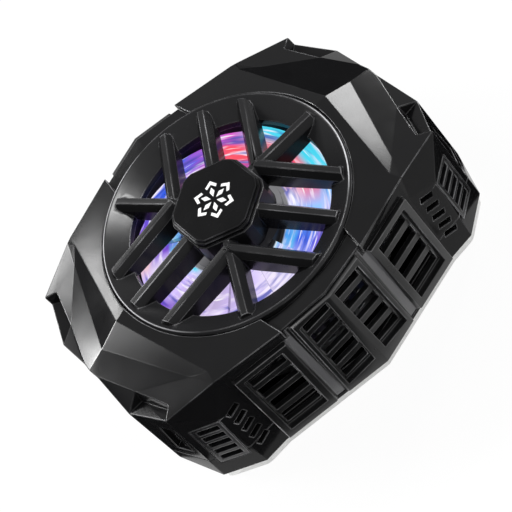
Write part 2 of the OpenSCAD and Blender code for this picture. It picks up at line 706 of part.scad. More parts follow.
// Framed insert with thin fins in each corner wall
module corner_louvers() color("#4a4b50") four_ways() on_louver()
  translate([louver_wall / 2 - louver[0] / 2, louver_low, -louver[2]]) difference() {
    cube(louver);
    pitch = (louver[1] - louver_fin_t) / louver_fins;
    for (i = [0:louver_fins - 1]) translate([louver_fin_t, louver_fin_t + i * pitch, -eps])
      cube([louver[0] - 2 * louver_fin_t, pitch - louver_fin_t, far]);
  }

// Three forks of three spokes and three single spokes around a hexagonal hub, inside a dished rim
module hexagon(r, h) intersection() {
  rotate(30) cylinder(r = r, h = h, $fn = 6);
  cylinder(r = r - hub_round, h = h);
}
module spoke(from) {
  top = spoke_top_z - spoke_low_z;
  shape = [[-spoke_w / 2, 0], [spoke_w / 2, 0], [spoke_w / 2, top - spoke_flank], [spoke_top_w / 2, top],
    [-spoke_top_w / 2, top], [-spoke_w / 2, top - spoke_flank]];
  translate([hub_r, 0, spoke_top_z]) rotate([0, spoke_tilt, 0])
    translate([from - hub_r, 0, -top]) rotate([90, 0, 90]) linear_extrude(ring_r) polygon(shape);
}
window_sides = 12;
window_in_r = window_r * cos(180 / window_sides);
module fan_grille() color("#1f2023") union() {
  rotate_extrude() polygon([
    [window_in_r, seat_z], [ring_r, seat_z], [ring_r, rim_z - lip_w / 2], [ring_r - lip_w / 2, rim_z],
    [ring_r - lip_w, rim_z - lip_w / 4], [window_in_r, rim_z - dish_d]]);
  difference() {
    translate([0, 0, seat_z]) cylinder(r = window_r + eps, h = rim_z - dish_d - seat_z);
    translate([0, 0, seat_z - far / 2]) rotate(180 / window_sides)
      cylinder(r = window_r, h = far, $fn = 12);
  }
  difference() {
    intersection() {
      for (k = [0:2]) rotate(120 * k) {
        spoke(hub_r / 2);
        rotate(60) for (i = [-1:1]) translate([0, i * spoke_step, 0])
          spoke(spoke_step * tan(30));
      }
      union() {
        translate([0, 0, spoke_low_z]) cylinder(r = window_r - fit, h = far);
        translate([0, 0, seat_z]) cylinder(r = spoke_end_r, h = far);
      }
    }
    translate([0, 0, hub_z - peg_l - fit]) cylinder(r = peg_r + fit, h = far);
    translate([0, 0, hub_z]) hexagon(hub_r, far);
  }
  difference() {
    translate([0, 0, spoke_low_z]) hexagon(hub_r, hub_z - spoke_low_z);
    translate([0, 0, hub_z - peg_l - fit]) cylinder(r = peg_r + fit, h = far);
  }
}
module hub_cap() color("#17181a") translate([0, 0, hub_z]) union() {
  hexagon(hub_r - cap_inset, cap_t - cap_step);
  hexagon(hub_r - 2 * cap_inset, cap_t);
  translate([0, 0, -peg_l]) cylinder(r = peg_r, h = peg_l + eps);
}

// Clear ring around the fan, lit from below by lamps on a round board
light_in_r = window_r + fit;
light_mid_r = light_in_r + light_w / 2;
module light_ring() color("#cfd6ff") translate([0, 0, thin_top + lamp[2]])
  linear_extrude(seat_z - thin_top - lamp[2]) difference() {
    circle(light_in_r + light_w);
    circle(light_in_r);
  }
module light_board() color("#1c3d2a") translate([0, 0, holder_top]) linear_extrude(thin_board_t)
  difference() {
  circle(light_in_r + light_w);
  circle(light_in_r);
}
module lamps_group() color("#f4f4ea") for (i = [0:lamps - 1]) rotate(360 / lamps * (i + 0.5))
  translate([light_mid_r - lamp[1] / 2, -lamp[0] / 2, thin_top]) cube([lamp[1], lamp[0], lamp[2]]);

// Pitched blades that overlap in the front view, on a round hub
blade_span = 360 / blades + blade_lap;
blade_steps = 6;
function blade_point(r, s, up) = let (a = blade_span * s)
  [r * cos(a), r * sin(a), blade_z + (blade_h - blade_t) * s + up * blade_t];
module blade() {
  radii = [fan_hub_r - hub_wall / 2, (fan_hub_r + fan_r) / 2, fan_r];
  cols = len(radii);
  points = [for (up = [0, 1]) for (i = [0:blade_steps]) for (r = radii) blade_point(r, i / blade_steps, up)];
  under = cols * (blade_steps + 1);
  function quad(a, b, c, d) = [[a, b, c], [a, c, d]];
  function at(up, i, j) = up * under + i * cols + j;
  last = blade_steps;
  polyhedron(points = points, faces = [
    for (i = [0:last - 1]) for (j = [0:cols - 2]) each concat(
      quad(at(0, i, j), at(0, i, j + 1), at(0, i + 1, j + 1), at(0, i + 1, j)),
      quad(at(1, i, j), at(1, i + 1, j), at(1, i + 1, j + 1), at(1, i, j + 1))),
    for (j = [0:cols - 2]) each concat(
      quad(at(0, 0, j), at(1, 0, j), at(1, 0, j + 1), at(0, 0, j + 1)),
      quad(at(0, last, j), at(0, last, j + 1), at(1, last, j + 1), at(1, last, j))),
    for (i = [0:last - 1]) each concat(
      quad(at(0, i, 0), at(0, i + 1, 0), at(1, i + 1, 0), at(1, i, 0)),
      quad(at(0, i, cols - 1), at(1, i, cols - 1), at(1, i + 1, cols - 1), at(0, i + 1, cols - 1)))
  ]);
}
module impeller() color("#b9b4e6") difference() {
  union() {
    translate([0, 0, fan_hub_z]) cylinder(r = fan_hub_r, h = fan_top - fan_hub_z);
    for (i = [0:blades - 1]) rotate(360 / blades * i) blade();
  }
  translate([0, 0, fan_hub_z - eps]) cylinder(r = yoke_r + press, h = yoke_top - fan_hub_z + eps);
}

// Motor: steel cup with a ring magnet that turns on a shaft around a wound core
module rotor_cup() color("#9a9ca0") difference() {
  translate([0, 0, core_z]) cylinder(r = yoke_r, h = yoke_top - core_z);
  translate([0, 0, core_z - eps]) cylinder(r = magnet_out_r + press, h = yoke_under - core_z + eps);
  cylinder(r = shaft_r + press, h = far);
}
module rotor_magnet() color("#3a3a3c") translate([0, 0, core_z]) linear_extrude(yoke_under - core_z)
  difference() {
  circle(magnet_out_r);
  circle(magnet_in_r);
}
module motor_shaft() color("#c9cbce") translate([0, 0, fin_top + thrust_t + fit])
  cylinder(r = shaft_r, h = yoke_top - fin_top - thrust_t - fit);
module bearing_bush() color("#b58a4a") translate([0, 0, fin_top + thrust_t])
  linear_extrude(tube_top - fin_top - thrust_t) difference() {
  circle(bush_r);
  circle(shaft_r + running);
}
module thrust_plate() color("#d8d8d4") translate([0, 0, fin_top]) cylinder(r = bush_r, h = thrust_t);
module stator_core() color("#6d6f73") translate([0, 0, core_z]) linear_extrude(core_t) difference() {
  union() {
    circle(core_hole_r + pole_w);
    for (i = [0:poles - 1]) rotate(360 / poles * i) translate([0, -pole_w / 2])
      square([core_r - pole_w / 2, pole_w]);
    for (i = [0:poles - 1]) rotate(360 / poles * i) intersection() {
      difference() {
        circle(core_r);
        circle(core_r - pole_w / 2);
      }
      translate([0, -shoe_w / 2]) square([core_r, shoe_w]);
    }
  }
  circle(core_hole_r);
}
coil_from = core_hole_r + pole_w + press;
shoe_in_r = core_r - pole_w / 2;
coil_to = sqrt(pow(shoe_in_r, 2) - pow(pole_w / 2 + coil_t, 2)) - press;
module stator_coils() color("#a8552c") for (i = [0:poles - 1]) rotate(360 / poles * i)
  translate([coil_from + press, 0, core_z - coil_t]) difference() {
    translate([0, -pole_w / 2 - coil_t, 0])
      cube([coil_to - coil_from - press, pole_w + 2 * coil_t, core_t + 2 * coil_t]);
    translate([-eps, -pole_w / 2 - press, coil_t - press])
      cube([far, pole_w + 2 * press, core_t + 2 * press]);
  }
module motor_board() color("#1f4a30") translate([0, 0, holder_top]) linear_extrude(thin_board_t)
  difference() {
  circle(motor_board_r);
  circle(step_r + fit);
}
module fan_holder() color("#202124") difference() {
  union() {
    translate([0, 0, fin_top]) linear_extrude(holder_t) {
      circle(holder_disc_r);
      difference() {
        circle(light_in_r + light_w);
        circle(light_in_r);
      }
      for (a = fan_angles) rotate(a) {
        translate([0, -arm_w / 2]) square([fan_screw_circle, arm_w]);
        translate([fan_screw_circle, 0]) circle(arm_w / 2);
      }
    }
    translate([0, 0, fin_top]) cylinder(r = step_r, h = core_z - fin_top);
    translate([0, 0, fin_top]) cylinder(r = tube_r, h = tube_top - fin_top);
  }
  translate([0, 0, fin_top - eps]) cylinder(r = bush_r + press, h = far);
  round_posts(fan_angles, fan_screw_circle) cylinder(r = screw_r + hole_fit, h = far);
}
module fan_screws() color("#8d8f94") round_posts(fan_angles, fan_screw_circle)
  translate([0, 0, holder_top]) screw(holder_t + grip);

// Heat sink with straight fins towards the long sides, held on posts of the rear cover
fins = floor((sink_r - fin_t) / fin_step);
module heat_sink() color("#aeb2b8") difference() {
  union() {
    translate([0, 0, sink_z]) cylinder(r = sink_r, h = sink_t);
    translate([0, 0, sink_top - eps]) linear_extrude(fin_h + eps) difference() {
      intersection() {
        circle(sink_r);
        union() for (i = [-fins:fins]) translate([i * fin_step - fin_t / 2, -far]) square([fin_t, 2 * far]);
      }
      round_posts(sink_angles, sink_screw_circle) circle(head_r + 2 * hole_fit);
    }
    round_posts(fan_angles, fan_screw_circle) translate([0, 0, sink_top - eps])
      cylinder(r = sink_r - fan_screw_circle, h = fin_h + eps);
  }
  round_posts(fan_angles, fan_screw_circle) translate([0, 0, fin_top - grip - fit])
    cylinder(r = screw_r + thread_fit, h = far);
  round_posts(sink_angles, sink_screw_circle) cylinder(r = screw_r + hole_fit, h = far);
}
module sink_screws() color("#8d8f94") round_posts(sink_angles, sink_screw_circle)
  translate([0, 0, sink_top]) screw(sink_t + grip);

// Thermoelectric module: pellets between two ceramic plates
module module_plate(z) translate([-module_w / 2, -module_w / 2, z]) cube([module_w, module_w, ceramic_t]);
module module_hot_side() color("#eceae4") module_plate(hot_z);
module module_cold_side() color("#eceae4") module_plate(cold_top);
pellet_pitch = module_w / pellets;
pellet_from = (pellet_pitch - module_w - pellet_w) / 2;
lead_x = fit - pellet_from;
module module_pellets() color("#75787c") for (i = [0:pellets - 1]) for (j = [0:pellets - 1])
  translate([pellet_from + i * pellet_pitch, pellet_from + j * pellet_pitch, pellet_z])
    cube([pellet_w, pellet_w, pellet_h]);
gasket_w = module_w / 2 + gasket_gap;
module foam_gasket() color("#2c2c2e") difference() {
  translate([0, 0, cold_top]) linear_extrude(sink_z - cold_top) difference() {
    square(2 * (gasket_w + gasket_wall), center = true);
    square(2 * gasket_w, center = true);
  }
  for (s = [-1, 1]) translate([0, s * lead_gap / 2 - lead_r - fit, lead_z - lead_r - fit])
    cube([far, 2 * lead_r + 2 * fit, far]);
}
module cold_plate() color("#c3c6ca") union() {
  cylinder(r = cold_r, h = floor_z + eps);
  translate([0, 0, floor_z]) cylinder(r = cold_edge_r, h = cold_flange[1]);
}

// Soft pad on the rear with a ring of magnets behind it
module magnet_places() for (i = [0:magnets - 1]) rotate(360 / magnets * i)
  translate([magnet_circle, 0, 0]) children();
module holding_magnets() color("#8a8c90") magnet_places() translate([0, 0, rear_z])
  cylinder(r = magnet_r, h = magnet_h);
module rear_pad() color("#e9e9e6") linear_extrude(pad_h) difference() {
  polygon(inset(rear_outline, pad_inset));
  circle(cold_r + fit);
}

// Control board with the power socket in the end wall, and the leads to the module
module control_board() color("#18452b") difference() {
  translate([board_x, -board_w / 2, board_z]) cube([board_l, board_w, board_t]);
  for (p = board_posts) translate([p[0], p[1], 0]) cylinder(r = screw_r + hole_fit, h = far);
}
module chip(c) translate([board_x + c[0], board_w / 2 - c[1] - c[2], board_z + board_t])
  cube([c[2], c[2], board_t]);
module board_chips() color("#2a2a2c") {
  mirror([0, 1, 0]) chip(chip_a);
  chip(chip_b);
}
module board_screws() color("#8d8f94") for (p = board_posts) translate([p[0], p[1], board_z + board_t])
  screw(board_t + board_z - floor_z - fit);
module module_leads() color("#7d2424") for (s = [-1, 1])
  translate([lead_x, s * lead_gap / 2, lead_z]) rotate([0, 90, 0])
    cylinder(r = lead_r, h = board_x + lead_lap - lead_x);
module socket_shell() color("#b6b8bc") difference() {
  translate([socket_x, -socket[1] / 2, seam_z - socket[2] / 2]) cube(socket);
  translate([socket_x + socket_back_t, socket_wall - socket[1] / 2, seam_z - socket[2] / 2 + socket_wall])
    cube([far, socket[1] - 2 * socket_wall, socket[2] - 2 * socket_wall]);
}
module socket_tongue() color("#1b1b1d")
  translate([socket_x + socket_back_t, -tongue[1] / 2, seam_z - tongue[2] / 2]) cube(tongue);
module housing_screws() color("#8d8f94") four_ways() translate([screw_xy[0], screw_xy[1], head_seat])
  mirror([0, 0, 1]) screw(seam_z - head_seat + grip);

front_cover();
rear_cover();
left_vent_panel();
right_vent_panel();
corner_louvers();
fan_grille();
hub_cap();
light_ring();
light_board();
lamps_group();
impeller();
rotor_cup();
rotor_magnet();
motor_shaft();
bearing_bush();
thrust_plate();
stator_core();
stator_coils();
motor_board();
fan_holder();
fan_screws();
heat_sink();
sink_screws();
module_hot_side();
module_pellets();
module_cold_side();
foam_gasket();
cold_plate();
holding_magnets();
rear_pad();
control_board();
board_chips();
board_screws();
module_leads();
socket_shell();
socket_tongue();
housing_screws();
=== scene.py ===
import math

import bmesh
import bpy
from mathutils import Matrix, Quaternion, Vector


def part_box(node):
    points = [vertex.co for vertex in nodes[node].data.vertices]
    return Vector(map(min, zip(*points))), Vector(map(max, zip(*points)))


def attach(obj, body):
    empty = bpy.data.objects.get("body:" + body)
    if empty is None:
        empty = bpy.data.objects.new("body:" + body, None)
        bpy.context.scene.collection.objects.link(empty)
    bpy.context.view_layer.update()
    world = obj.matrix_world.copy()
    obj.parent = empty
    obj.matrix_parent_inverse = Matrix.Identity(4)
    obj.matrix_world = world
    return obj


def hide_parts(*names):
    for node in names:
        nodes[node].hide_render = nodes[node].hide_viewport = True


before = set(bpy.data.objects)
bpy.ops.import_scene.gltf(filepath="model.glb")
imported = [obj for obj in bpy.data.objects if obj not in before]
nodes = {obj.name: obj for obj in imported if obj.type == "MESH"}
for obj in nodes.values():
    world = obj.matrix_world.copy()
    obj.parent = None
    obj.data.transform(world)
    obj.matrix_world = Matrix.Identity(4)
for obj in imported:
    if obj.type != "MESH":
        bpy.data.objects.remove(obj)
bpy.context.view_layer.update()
scene = bpy.context.scene
scene.view_settings.view_transform = "Standard"

# Stage: the part lies on a plain white floor in white surroundings, seen from above its front edge with
# the picture turned. Softboxes put long reflections on the dark facets, and black and grey cards, which
# only reflections see, keep the low facets behind and the sides dark.
MM = 0.001
camera_aim = Vector((-1.61, -3.10, 15.0)) * MM
camera_distance = 246.59 * MM
camera_azimuth = -6.204
camera_elevation = 51.417
camera_roll = -42.475
camera_lens = 93.17


def towards(azimuth, elevation):
    """Unit vector from the part to an azimuth (0 in front, 90 to the right) and elevation in degrees"""
    a, e = math.radians(azimuth), math.radians(elevation)
    return Vector((math.sin(a) * math.cos(e), -math.cos(a) * math.cos(e), math.sin(e)))


def facing(back, roll=0.0):
    """Rotation of a camera or lamp whose back points that way, turned about its own axis"""
    return (-back).to_track_quat("-Z", "Y") @ Quaternion((0, 0, 1), math.radians(roll))


def place(name, data, where, rotation):
    """A camera or lamp in the scene"""
    made = bpy.data.objects.new(name, data)
    made.location = where
    made.rotation_mode = "QUATERNION"
    made.rotation_quaternion = rotation
    scene.collection.objects.link(made)
    return made


camera_data = bpy.data.cameras.new("camera")
camera_data.lens = camera_lens
camera_data.sensor_width = 36.0
camera_data.clip_start = 0.01
camera_back = towards(camera_azimuth, camera_elevation)
scene.camera = place(
    "camera", camera_data, camera_aim + camera_back * camera_distance, facing(camera_back, camera_roll)
)

lamp_distance = 2.0


def softbox(name, azimuth, elevation, wide, high, radiance):
    """A rectangular lamp of that width and height in degrees as the part sees it, and its radiance"""
    lamp = bpy.data.lights.new(name, "AREA")
    lamp.shape = "RECTANGLE"
    lamp.size, lamp.size_y = (2 * lamp_distance * math.tan(math.radians(a / 2)) for a in (wide, high))
    lamp.energy = radiance * math.pi * lamp.size * lamp.size_y
    back = towards(azimuth, elevation)
    made = place(name, lamp, camera_aim + back * lamp_distance, facing(back))
    made.visible_camera = False
    return made


def flag(lamp, names, state="EXCLUDE"):
    """Keeps a lamp's light off these nodes, as a flag on a stand does, or on them alone"""
    linked = bpy.data.collections.new(lamp.name + "_flag")
    for name in names:
        linked.objects.link(nodes[name])
    for entry in linked.collection_objects:
        entry.light_linking.link_state = state
    lamp.light_linking.receiver_collection = linked


right_lamp = softbox("right_softbox", 122, 28, 9, 9, 44.0)
rear_lamp = softbox("rear_softbox", 218.8, 29, 15, 8, 80.0)
left_lamp = softbox("left_softbox", 231, 38, 9, 7, 20.0)
rim_lamp = softbox("rim_softbox", 86, 61, 11, 11, 130.0)
softbox("far_left_softbox", 197.5, 39.5, 16.5, 5, 46.0)
softbox("front_softbox", 40, 40, 30, 20, 1.6)
for lamp in (right_lamp, rear_lamp, left_lamp):
    flag(lamp, ("fan_grille", "left_vent_panel", "right_vent_panel"))
flag(rim_lamp, ("fan_grille",), "INCLUDE")


def add(tree, kind, inputs=None, **settings):
    """A node with its settings, and its inputs linked to sockets or set to values"""
    made = tree.nodes.new(kind)
    for name, value in settings.items():
        setattr(made, name, value)
    for key, value in (inputs or {}).items():
        if isinstance(value, bpy.types.NodeSocket):
            tree.links.new(value, made.inputs[key])
        else:
            made.inputs[key].default_value = value
    return made


def maths(tree, operation, *values):
    """The result of a math node on these sockets or numbers"""
    return add(tree, "ShaderNodeMath", dict(enumerate(values)), operation=operation).outputs[0]


def seen_white(tree):
    """1 for the rays that see the white surroundings: camera, glossy and transmission"""
    path = add(tree, "ShaderNodeLightPath").outputs
    direct = maths(tree, "MAXIMUM", path["Is Camera Ray"], path["Is Glossy Ray"])
    return maths(tree, "MAXIMUM", direct, path["Is Transmission Ray"])


white = (1.0, 1.0, 1.0, 1.0)
world_light = 0.6
scene.world = bpy.data.worlds.new("white_surroundings")
scene.world.use_nodes = True
tree = scene.world.node_tree
tree.nodes.clear()
lit = add(tree, "ShaderNodeBackground", {"Color": white, "Strength": world_light})
seen = add(tree, "ShaderNodeBackground", {"Color": white, "Strength": 1.0})
sky = add(tree, "ShaderNodeMixShader", {0: seen_white(tree), 1: lit.outputs[0], 2: seen.outputs[0]})
add(tree, "ShaderNodeOutputWorld", {"Surface": sky.outputs[0]})


def new_piece(name, mesh, material=None):
    """An object at the origin for a finished mesh"""
    made = bpy.data.objects.new(name, mesh)
    scene.collection.objects.link(made)
    if material:
        mesh.materials.append(material)
    return made


def flat_sheet(name, corners, material):
    """A stage piece with those corners in metres"""
    mesh = bpy.data.meshes.new(name)
    mesh.from_pydata(corners, [], [tuple(range(len(corners)))])
    made = new_piece(name, mesh, material)
    return made


# The floor lies a hair above the part's rear face, so that a view from below shows that face lit.
floor_half = 3.0
floor_height = 0.05 * MM
floor_shade = 0.05
floor_white = (0.86, 0.86, 0.86, 1.0)
floor_paint = bpy.data.materials.new("white_floor")
floor_paint.use_nodes = True
tree = floor_paint.node_tree
tree.nodes.clear()
matt = add(tree, "ShaderNodeBsdfDiffuse", {"Color": floor_white})
glow = add(tree, "ShaderNodeEmission", {"Color": white, "Strength": 1.0})
glow_share = maths(tree, "MULTIPLY", seen_white(tree), 1.0 - floor_shade)
upper = add(tree, "ShaderNodeMixShader", {0: glow_share, 1: matt.outputs[0], 2: glow.outputs[0]})
below = add(tree, "ShaderNodeNewGeometry").outputs["Backfacing"]
clear = add(tree, "ShaderNodeBsdfTransparent")
one_sided = add(tree, "ShaderNodeMixShader", {0: below, 1: upper.outputs[0], 2: clear.outputs[0]})
add(tree, "ShaderNodeOutputMaterial", {"Surface": one_sided.outputs[0]})
floor_corners = [(-1, -1), (1, -1), (1, 1), (-1, 1)]
flat_sheet("floor", [(x * floor_half, y * floor_half, floor_height) for x, y in floor_corners], floor_paint)


def card_paper(name, tone):
    """Card that shows one tone, whatever lights it"""
    made = bpy.data.materials.new(name)
    made.use_nodes = True
    shader = made.node_tree.nodes["Principled BSDF"].inputs
    shader["Base Color"].default_value = (0.002, 0.002, 0.002, 1.0)
    shader["Specular IOR Level"].default_value = 0.0
    shader["Emission Color"].default_value = white
    shader["Emission Strength"].default_value = tone
    return made


black_paper = card_paper("black_card", 0.0)
grey_paper = card_paper("grey_card", 0.45)
upright_distance = 0.9
floor_card_height = 0.3 * MM


def hidden_card(name, corners, paper):
    """A sheet of card that only reflections see"""
    card = flat_sheet(name, corners, paper)
    card.visible_camera = False
    card.visible_diffuse = False
    card.visible_shadow = False
    card.visible_transmission = False


def upright_card(name, start, end, low, high):
    """A black card from one azimuth to another and from a low to a high elevation in degrees"""
    corners = [(start, low), (end, low), (end, high), (start, high)]
    hidden_card(name, [towards(a, e) * upright_distance for a, e in corners], black_paper)


def floor_card(name, outline, paper=black_paper):
    """A card on the floor, by its outline in millimetres"""
    hidden_card(name, [(x * MM, y * MM, floor_card_height) for x, y in outline], paper)


upright_card("rear_card", 128, 200, -3, 24)
upright_card("left_rear_card", 198, 262, -3, 20)
upright_card("left_card", 258, 320, -3, 30)
card_far = 400
by_end = -42
by_side = -36
by_corner = (by_end, -28)
grey_from = -4
grey_to = 27
grey_far = -90
floor_card("left_floor_card", [
    (-card_far, -card_far), (grey_from, -card_far), (grey_from, by_side), by_corner,
])
floor_card("middle_floor_card", [
    (grey_from, grey_far), (grey_to, grey_far), (grey_to, by_side), (grey_from, by_side),
], grey_paper)
floor_card("socket_floor_card", [(33, -31), (90, -31), (90, 60), (40, 60), (40, -16)])
floor_card("end_floor_card", [(-card_far, -card_far), by_corner, (by_end, 40), (-card_far, 40)])


# Rear pad: a soft pad that lies on the phone round the cold plate. It is moulded from pale silicone
# with a rounded edge and a fine matt skin, and it is glued to the rear cover.
def finish_for(name, sockets):
    """A material whose shader has these plain sockets set; returns it with its tree and shader"""
    made = bpy.data.materials.new(name)
    made.use_nodes = True
    shader = made.node_tree.nodes["Principled BSDF"]
    for key, value in sockets.items():
        shader.inputs[key].default_value = value
    return made, made.node_tree, shader


def effect(name, inputs, outputs):
    """A shader node group with named inputs and outputs; returns it with its inner ends"""
    made = bpy.data.node_groups.new(name, "ShaderNodeTree")
    for label, kind in inputs:
        made.interface.new_socket(label, in_out="INPUT", socket_type="NodeSocket" + kind)
    for label, kind in outputs:
        made.interface.new_socket(label, in_out="OUTPUT", socket_type="NodeSocket" + kind)
    return made, made.nodes.new("NodeGroupInput").outputs, made.nodes.new("NodeGroupOutput").inputs


def fitted(tree, value, low, high, to_low, to_high):
    """The value, clamped between low and high and moved to the new ends"""
    return add(tree, "ShaderNodeMapRange", {0: value, 1: low, 2: high, 3: to_low, 4: to_high}).outputs[0]


def mixed(tree, factor, first, second):
    """A colour between two, by the factor"""
    return add(tree, "ShaderNodeMix", {0: factor, 6: first, 7: second}, data_type="RGBA").outputs[2]


def vectors(tree, operation, *values, out=0):
    """The result of a vector math node on these sockets"""
    return add(tree, "ShaderNodeVectorMath", dict(enumerate(values)), operation=operation).outputs[out]


def noise(tree, where, scale, detail):
    """Noise from 0 to 1 at these points"""
    return add(tree, "ShaderNodeTexNoise", {"Vector": where, "Scale": scale, "Detail": detail}).outputs["Fac"]


def object_place(tree):
    """The point on the piece, in its own coordinates"""
    return add(tree, "ShaderNodeTexCoord").outputs["Object"]


def shade(r, g, b):
    """An opaque colour"""
    return (r, g, b, 1.0)


# The moulded skin has a cloudy colour, a fine grain, and rounded edges painted paler: partly wear and
# partly painted highlights, strongest on the edges that face the highlight side.
edge_round = 0.26 * MM
nook_reach = 0.5 * MM
moulded_skin, skin_in, skin_out = effect(
    "moulded_skin",
    [("Colour", "Color"), ("Rubbed Colour", "Color"), ("Grain per Metre", "Float"), ("Rub", "Float"),
     ("Worn Side", "Vector"), ("Side Rub", "Float"), ("Roughness", "Float"), ("Spread", "Float")],
    [("Colour", "Color"), ("Roughness", "Float"), ("Height", "Float"), ("Normal", "Vector")],
)
tree = moulded_skin
place_on = object_place(tree)
cloud = noise(tree, place_on, 160.0, 3.0)
cloudy = add(tree, "ShaderNodeHueSaturation", {
    "Color": skin_in["Colour"], "Value": fitted(tree, cloud, 0.3, 0.7, 0.95, 1.05),
}).outputs[0]
round_normal = add(tree, "ShaderNodeBevel", {"Radius": edge_round}, samples=8).outputs[0]
true_normal = add(tree, "ShaderNodeNewGeometry").outputs["Normal"]
turn_away = vectors(tree, "DOT_PRODUCT", round_normal, true_normal, out="Value")
edge = fitted(tree, turn_away, 0.998, 0.965, 0.0, 1.0)
openness = add(
    tree, "ShaderNodeAmbientOcclusion", {"Distance": nook_reach}, samples=6, only_local=True
).outputs["AO"]
outer_edge = maths(tree, "MULTIPLY", edge, fitted(tree, openness, 0.7, 0.95, 0.0, 1.0))
patchy = maths(tree, "MULTIPLY", outer_edge, fitted(tree, cloud, 0.42, 0.62, 0.25, 1.0))
# Painted highlights: the Rub share pales the outer edges as wear and painted highlight, and edges leaning
# towards the highlight side are painted paler still.
lean = vectors(tree, "DOT_PRODUCT", round_normal, skin_in["Worn Side"], out="Value")
side_highlight_share = fitted(tree, lean, 0.2, 0.5, 0.0, 1.0)
rub_and_highlight = maths(tree, "MULTIPLY_ADD", side_highlight_share, skin_in["Side Rub"], skin_in["Rub"])
paled_share = maths(tree, "MULTIPLY", patchy, rub_and_highlight)
tree.links.new(mixed(tree, paled_share, cloudy, skin_in["Rubbed Colour"]), skin_out["Colour"])
wander = maths(tree, "MULTIPLY", fitted(tree, cloud, 0.3, 0.7, -1.0, 1.0), skin_in["Spread"])
tree.links.new(maths(tree, "ADD", wander, skin_in["Roughness"]), skin_out["Roughness"])
tree.links.new(noise(tree, place_on, skin_in["Grain per Metre"], 2.0), skin_out["Height"])
tree.links.new(round_normal, skin_out["Normal"])


def dress(material_parts, group, values, bump, depth):
    """Joins an effect to a material's shader, with its own values and its bump's depth in millimetres"""
    material, tree, shader = material_parts
    placed = add(tree, "ShaderNodeGroup", node_tree=group)
    for key, value in values.items():
        placed.inputs[key].default_value = value
    tree.links.new(placed.outputs["Colour"], shader.inputs["Base Color"])
    tree.links.new(placed.outputs["Roughness"], shader.inputs["Roughness"])
    relief = add(tree, "ShaderNodeBump", {
        "Strength": bump, "Distance": depth * MM, "Height": placed.outputs["Height"],
    })
    if "Normal" in placed.outputs:
        tree.links.new(placed.outputs["Normal"], relief.inputs["Normal"])
    tree.links.new(relief.outputs[0], shader.inputs["Normal"])
    return material


def moulded(
    name, colour, rub_and_highlight_colour, roughness, specular, grain=0.25, rub_and_highlight=0.6, bump=0.12, spread=0.03,
    highlight_side=(0, 0, 0), side_highlight=0.0,
):
    """A moulded plastic or rubber finish whose edges are painted paler as wear and painted highlights; the
    grain's size is in millimetres
    """
    return dress(
        finish_for(name, {"Specular IOR Level": specular}),
        moulded_skin,
        {"Colour": colour, "Rubbed Colour": rub_and_highlight_colour, "Grain per Metre": 1 / (grain * MM), "Rub": rub_and_highlight,
         "Worn Side": highlight_side, "Side Rub": side_highlight, "Roughness": roughness, "Spread": spread},
        bump, 0.02,
    )


def paint_over(material, factor, colour):
    """Paints a colour over a finish, by the factor"""
    tree = material.node_tree
    base = tree.nodes["Principled BSDF"].inputs["Base Color"]
    tree.links.new(mixed(tree, factor, base.links[0].from_socket, colour), base)


def wear(node, material):
    """The CAD node's object takes the material in place of its own"""
    worn = nodes[node].data.materials
    worn.clear()
    worn.append(material)
    return nodes[node]


weld_distance = 0.002 * MM


def soften(piece, width, angle=24, segments=2):
    """Joins loose triangles, rounds the edges by a width in millimetres and keeps the flats flat"""
    joined = piece.modifiers.new("joined", "WELD")
    joined.merge_threshold = weld_distance
    rounded = piece.modifiers.new("rounded_edges", "BEVEL")
    rounded.width = width * MM
    rounded.segments = segments
    rounded.limit_method = "ANGLE"
    rounded.angle_limit = math.radians(angle)
    rounded.use_clamp_overlap = False
    rounded.miter_outer = "MITER_ARC"
    shading = piece.modifiers.new("flat_shading", "WEIGHTED_NORMAL")
    shading.keep_sharp = False
    return piece


def soft_copy(node, name, material, width):
    """A rounded piece in place of a soft CAD solid, of the same form"""
    mesh = nodes[node].data.copy()
    mesh.name = name
    mesh.materials.clear()
    made = bmesh.new()
    made.from_mesh(mesh)
    bmesh.ops.remove_doubles(made, verts=made.verts, dist=weld_distance)
    made.to_mesh(mesh)
    made.free()
    piece = soften(new_piece(name, mesh, material), width, segments=4)
    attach(piece, "housing")
    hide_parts(node)


silicone = moulded(
    "pale_silicone", shade(0.90, 0.90, 0.89), shade(0.92, 0.92, 0.91), 0.55, 0.35,
    grain=0.4, rub_and_highlight=0.2, bump=0.2,
)
soft_copy("rear_pad", "soft_rear_pad", silicone, 0.6)


# Cold plate: a turned aluminium disc with a flange, which stands in the rear cover's opening. Its face
# is brushed flat, because it touches the phone, and its edges are broken.
def axes_of(tree, vector):
    """The X, Y and Z of a vector"""
    return add(tree, "ShaderNodeSeparateXYZ", {0: vector}).outputs


def off_axis(tree, axes):
    """The way from the fan's axis to a point, and its length"""
    across = add(tree, "ShaderNodeCombineXYZ", {0: axes[0], 1: axes[1]}).outputs[0]
    return across, vectors(tree, "LENGTH", across, out="Value")


worked_metal, metal_in, metal_out = effect(
    "worked_metal",
    [("Colour", "Color"), ("Dull Colour", "Color"), ("Stretch", "Vector"), ("Turned", "Float"),
     ("Roughness", "Float"), ("Spread", "Float")],
    [("Colour", "Color"), ("Roughness", "Float"), ("Height", "Float")],
)
tree = worked_metal
place_on = object_place(tree)
axes = axes_of(tree, place_on)
lathe = add(tree, "ShaderNodeCombineXYZ", {0: off_axis(tree, axes)[1], 2: axes[2]}).outputs[0]
cut = add(
    tree, "ShaderNodeMix", {0: metal_in["Turned"], 4: place_on, 5: lathe}, data_type="VECTOR"
).outputs[1]
scratch = noise(tree, vectors(tree, "MULTIPLY", cut, metal_in["Stretch"]), 1.0, 3.0)
stain = noise(tree, place_on, 220.0, 3.0)
scratched = fitted(tree, scratch, 0.35, 0.65, 0.0, 0.6)
dull = maths(tree, "ADD", scratched, fitted(tree, stain, 0.4, 0.7, 0.0, 0.4))
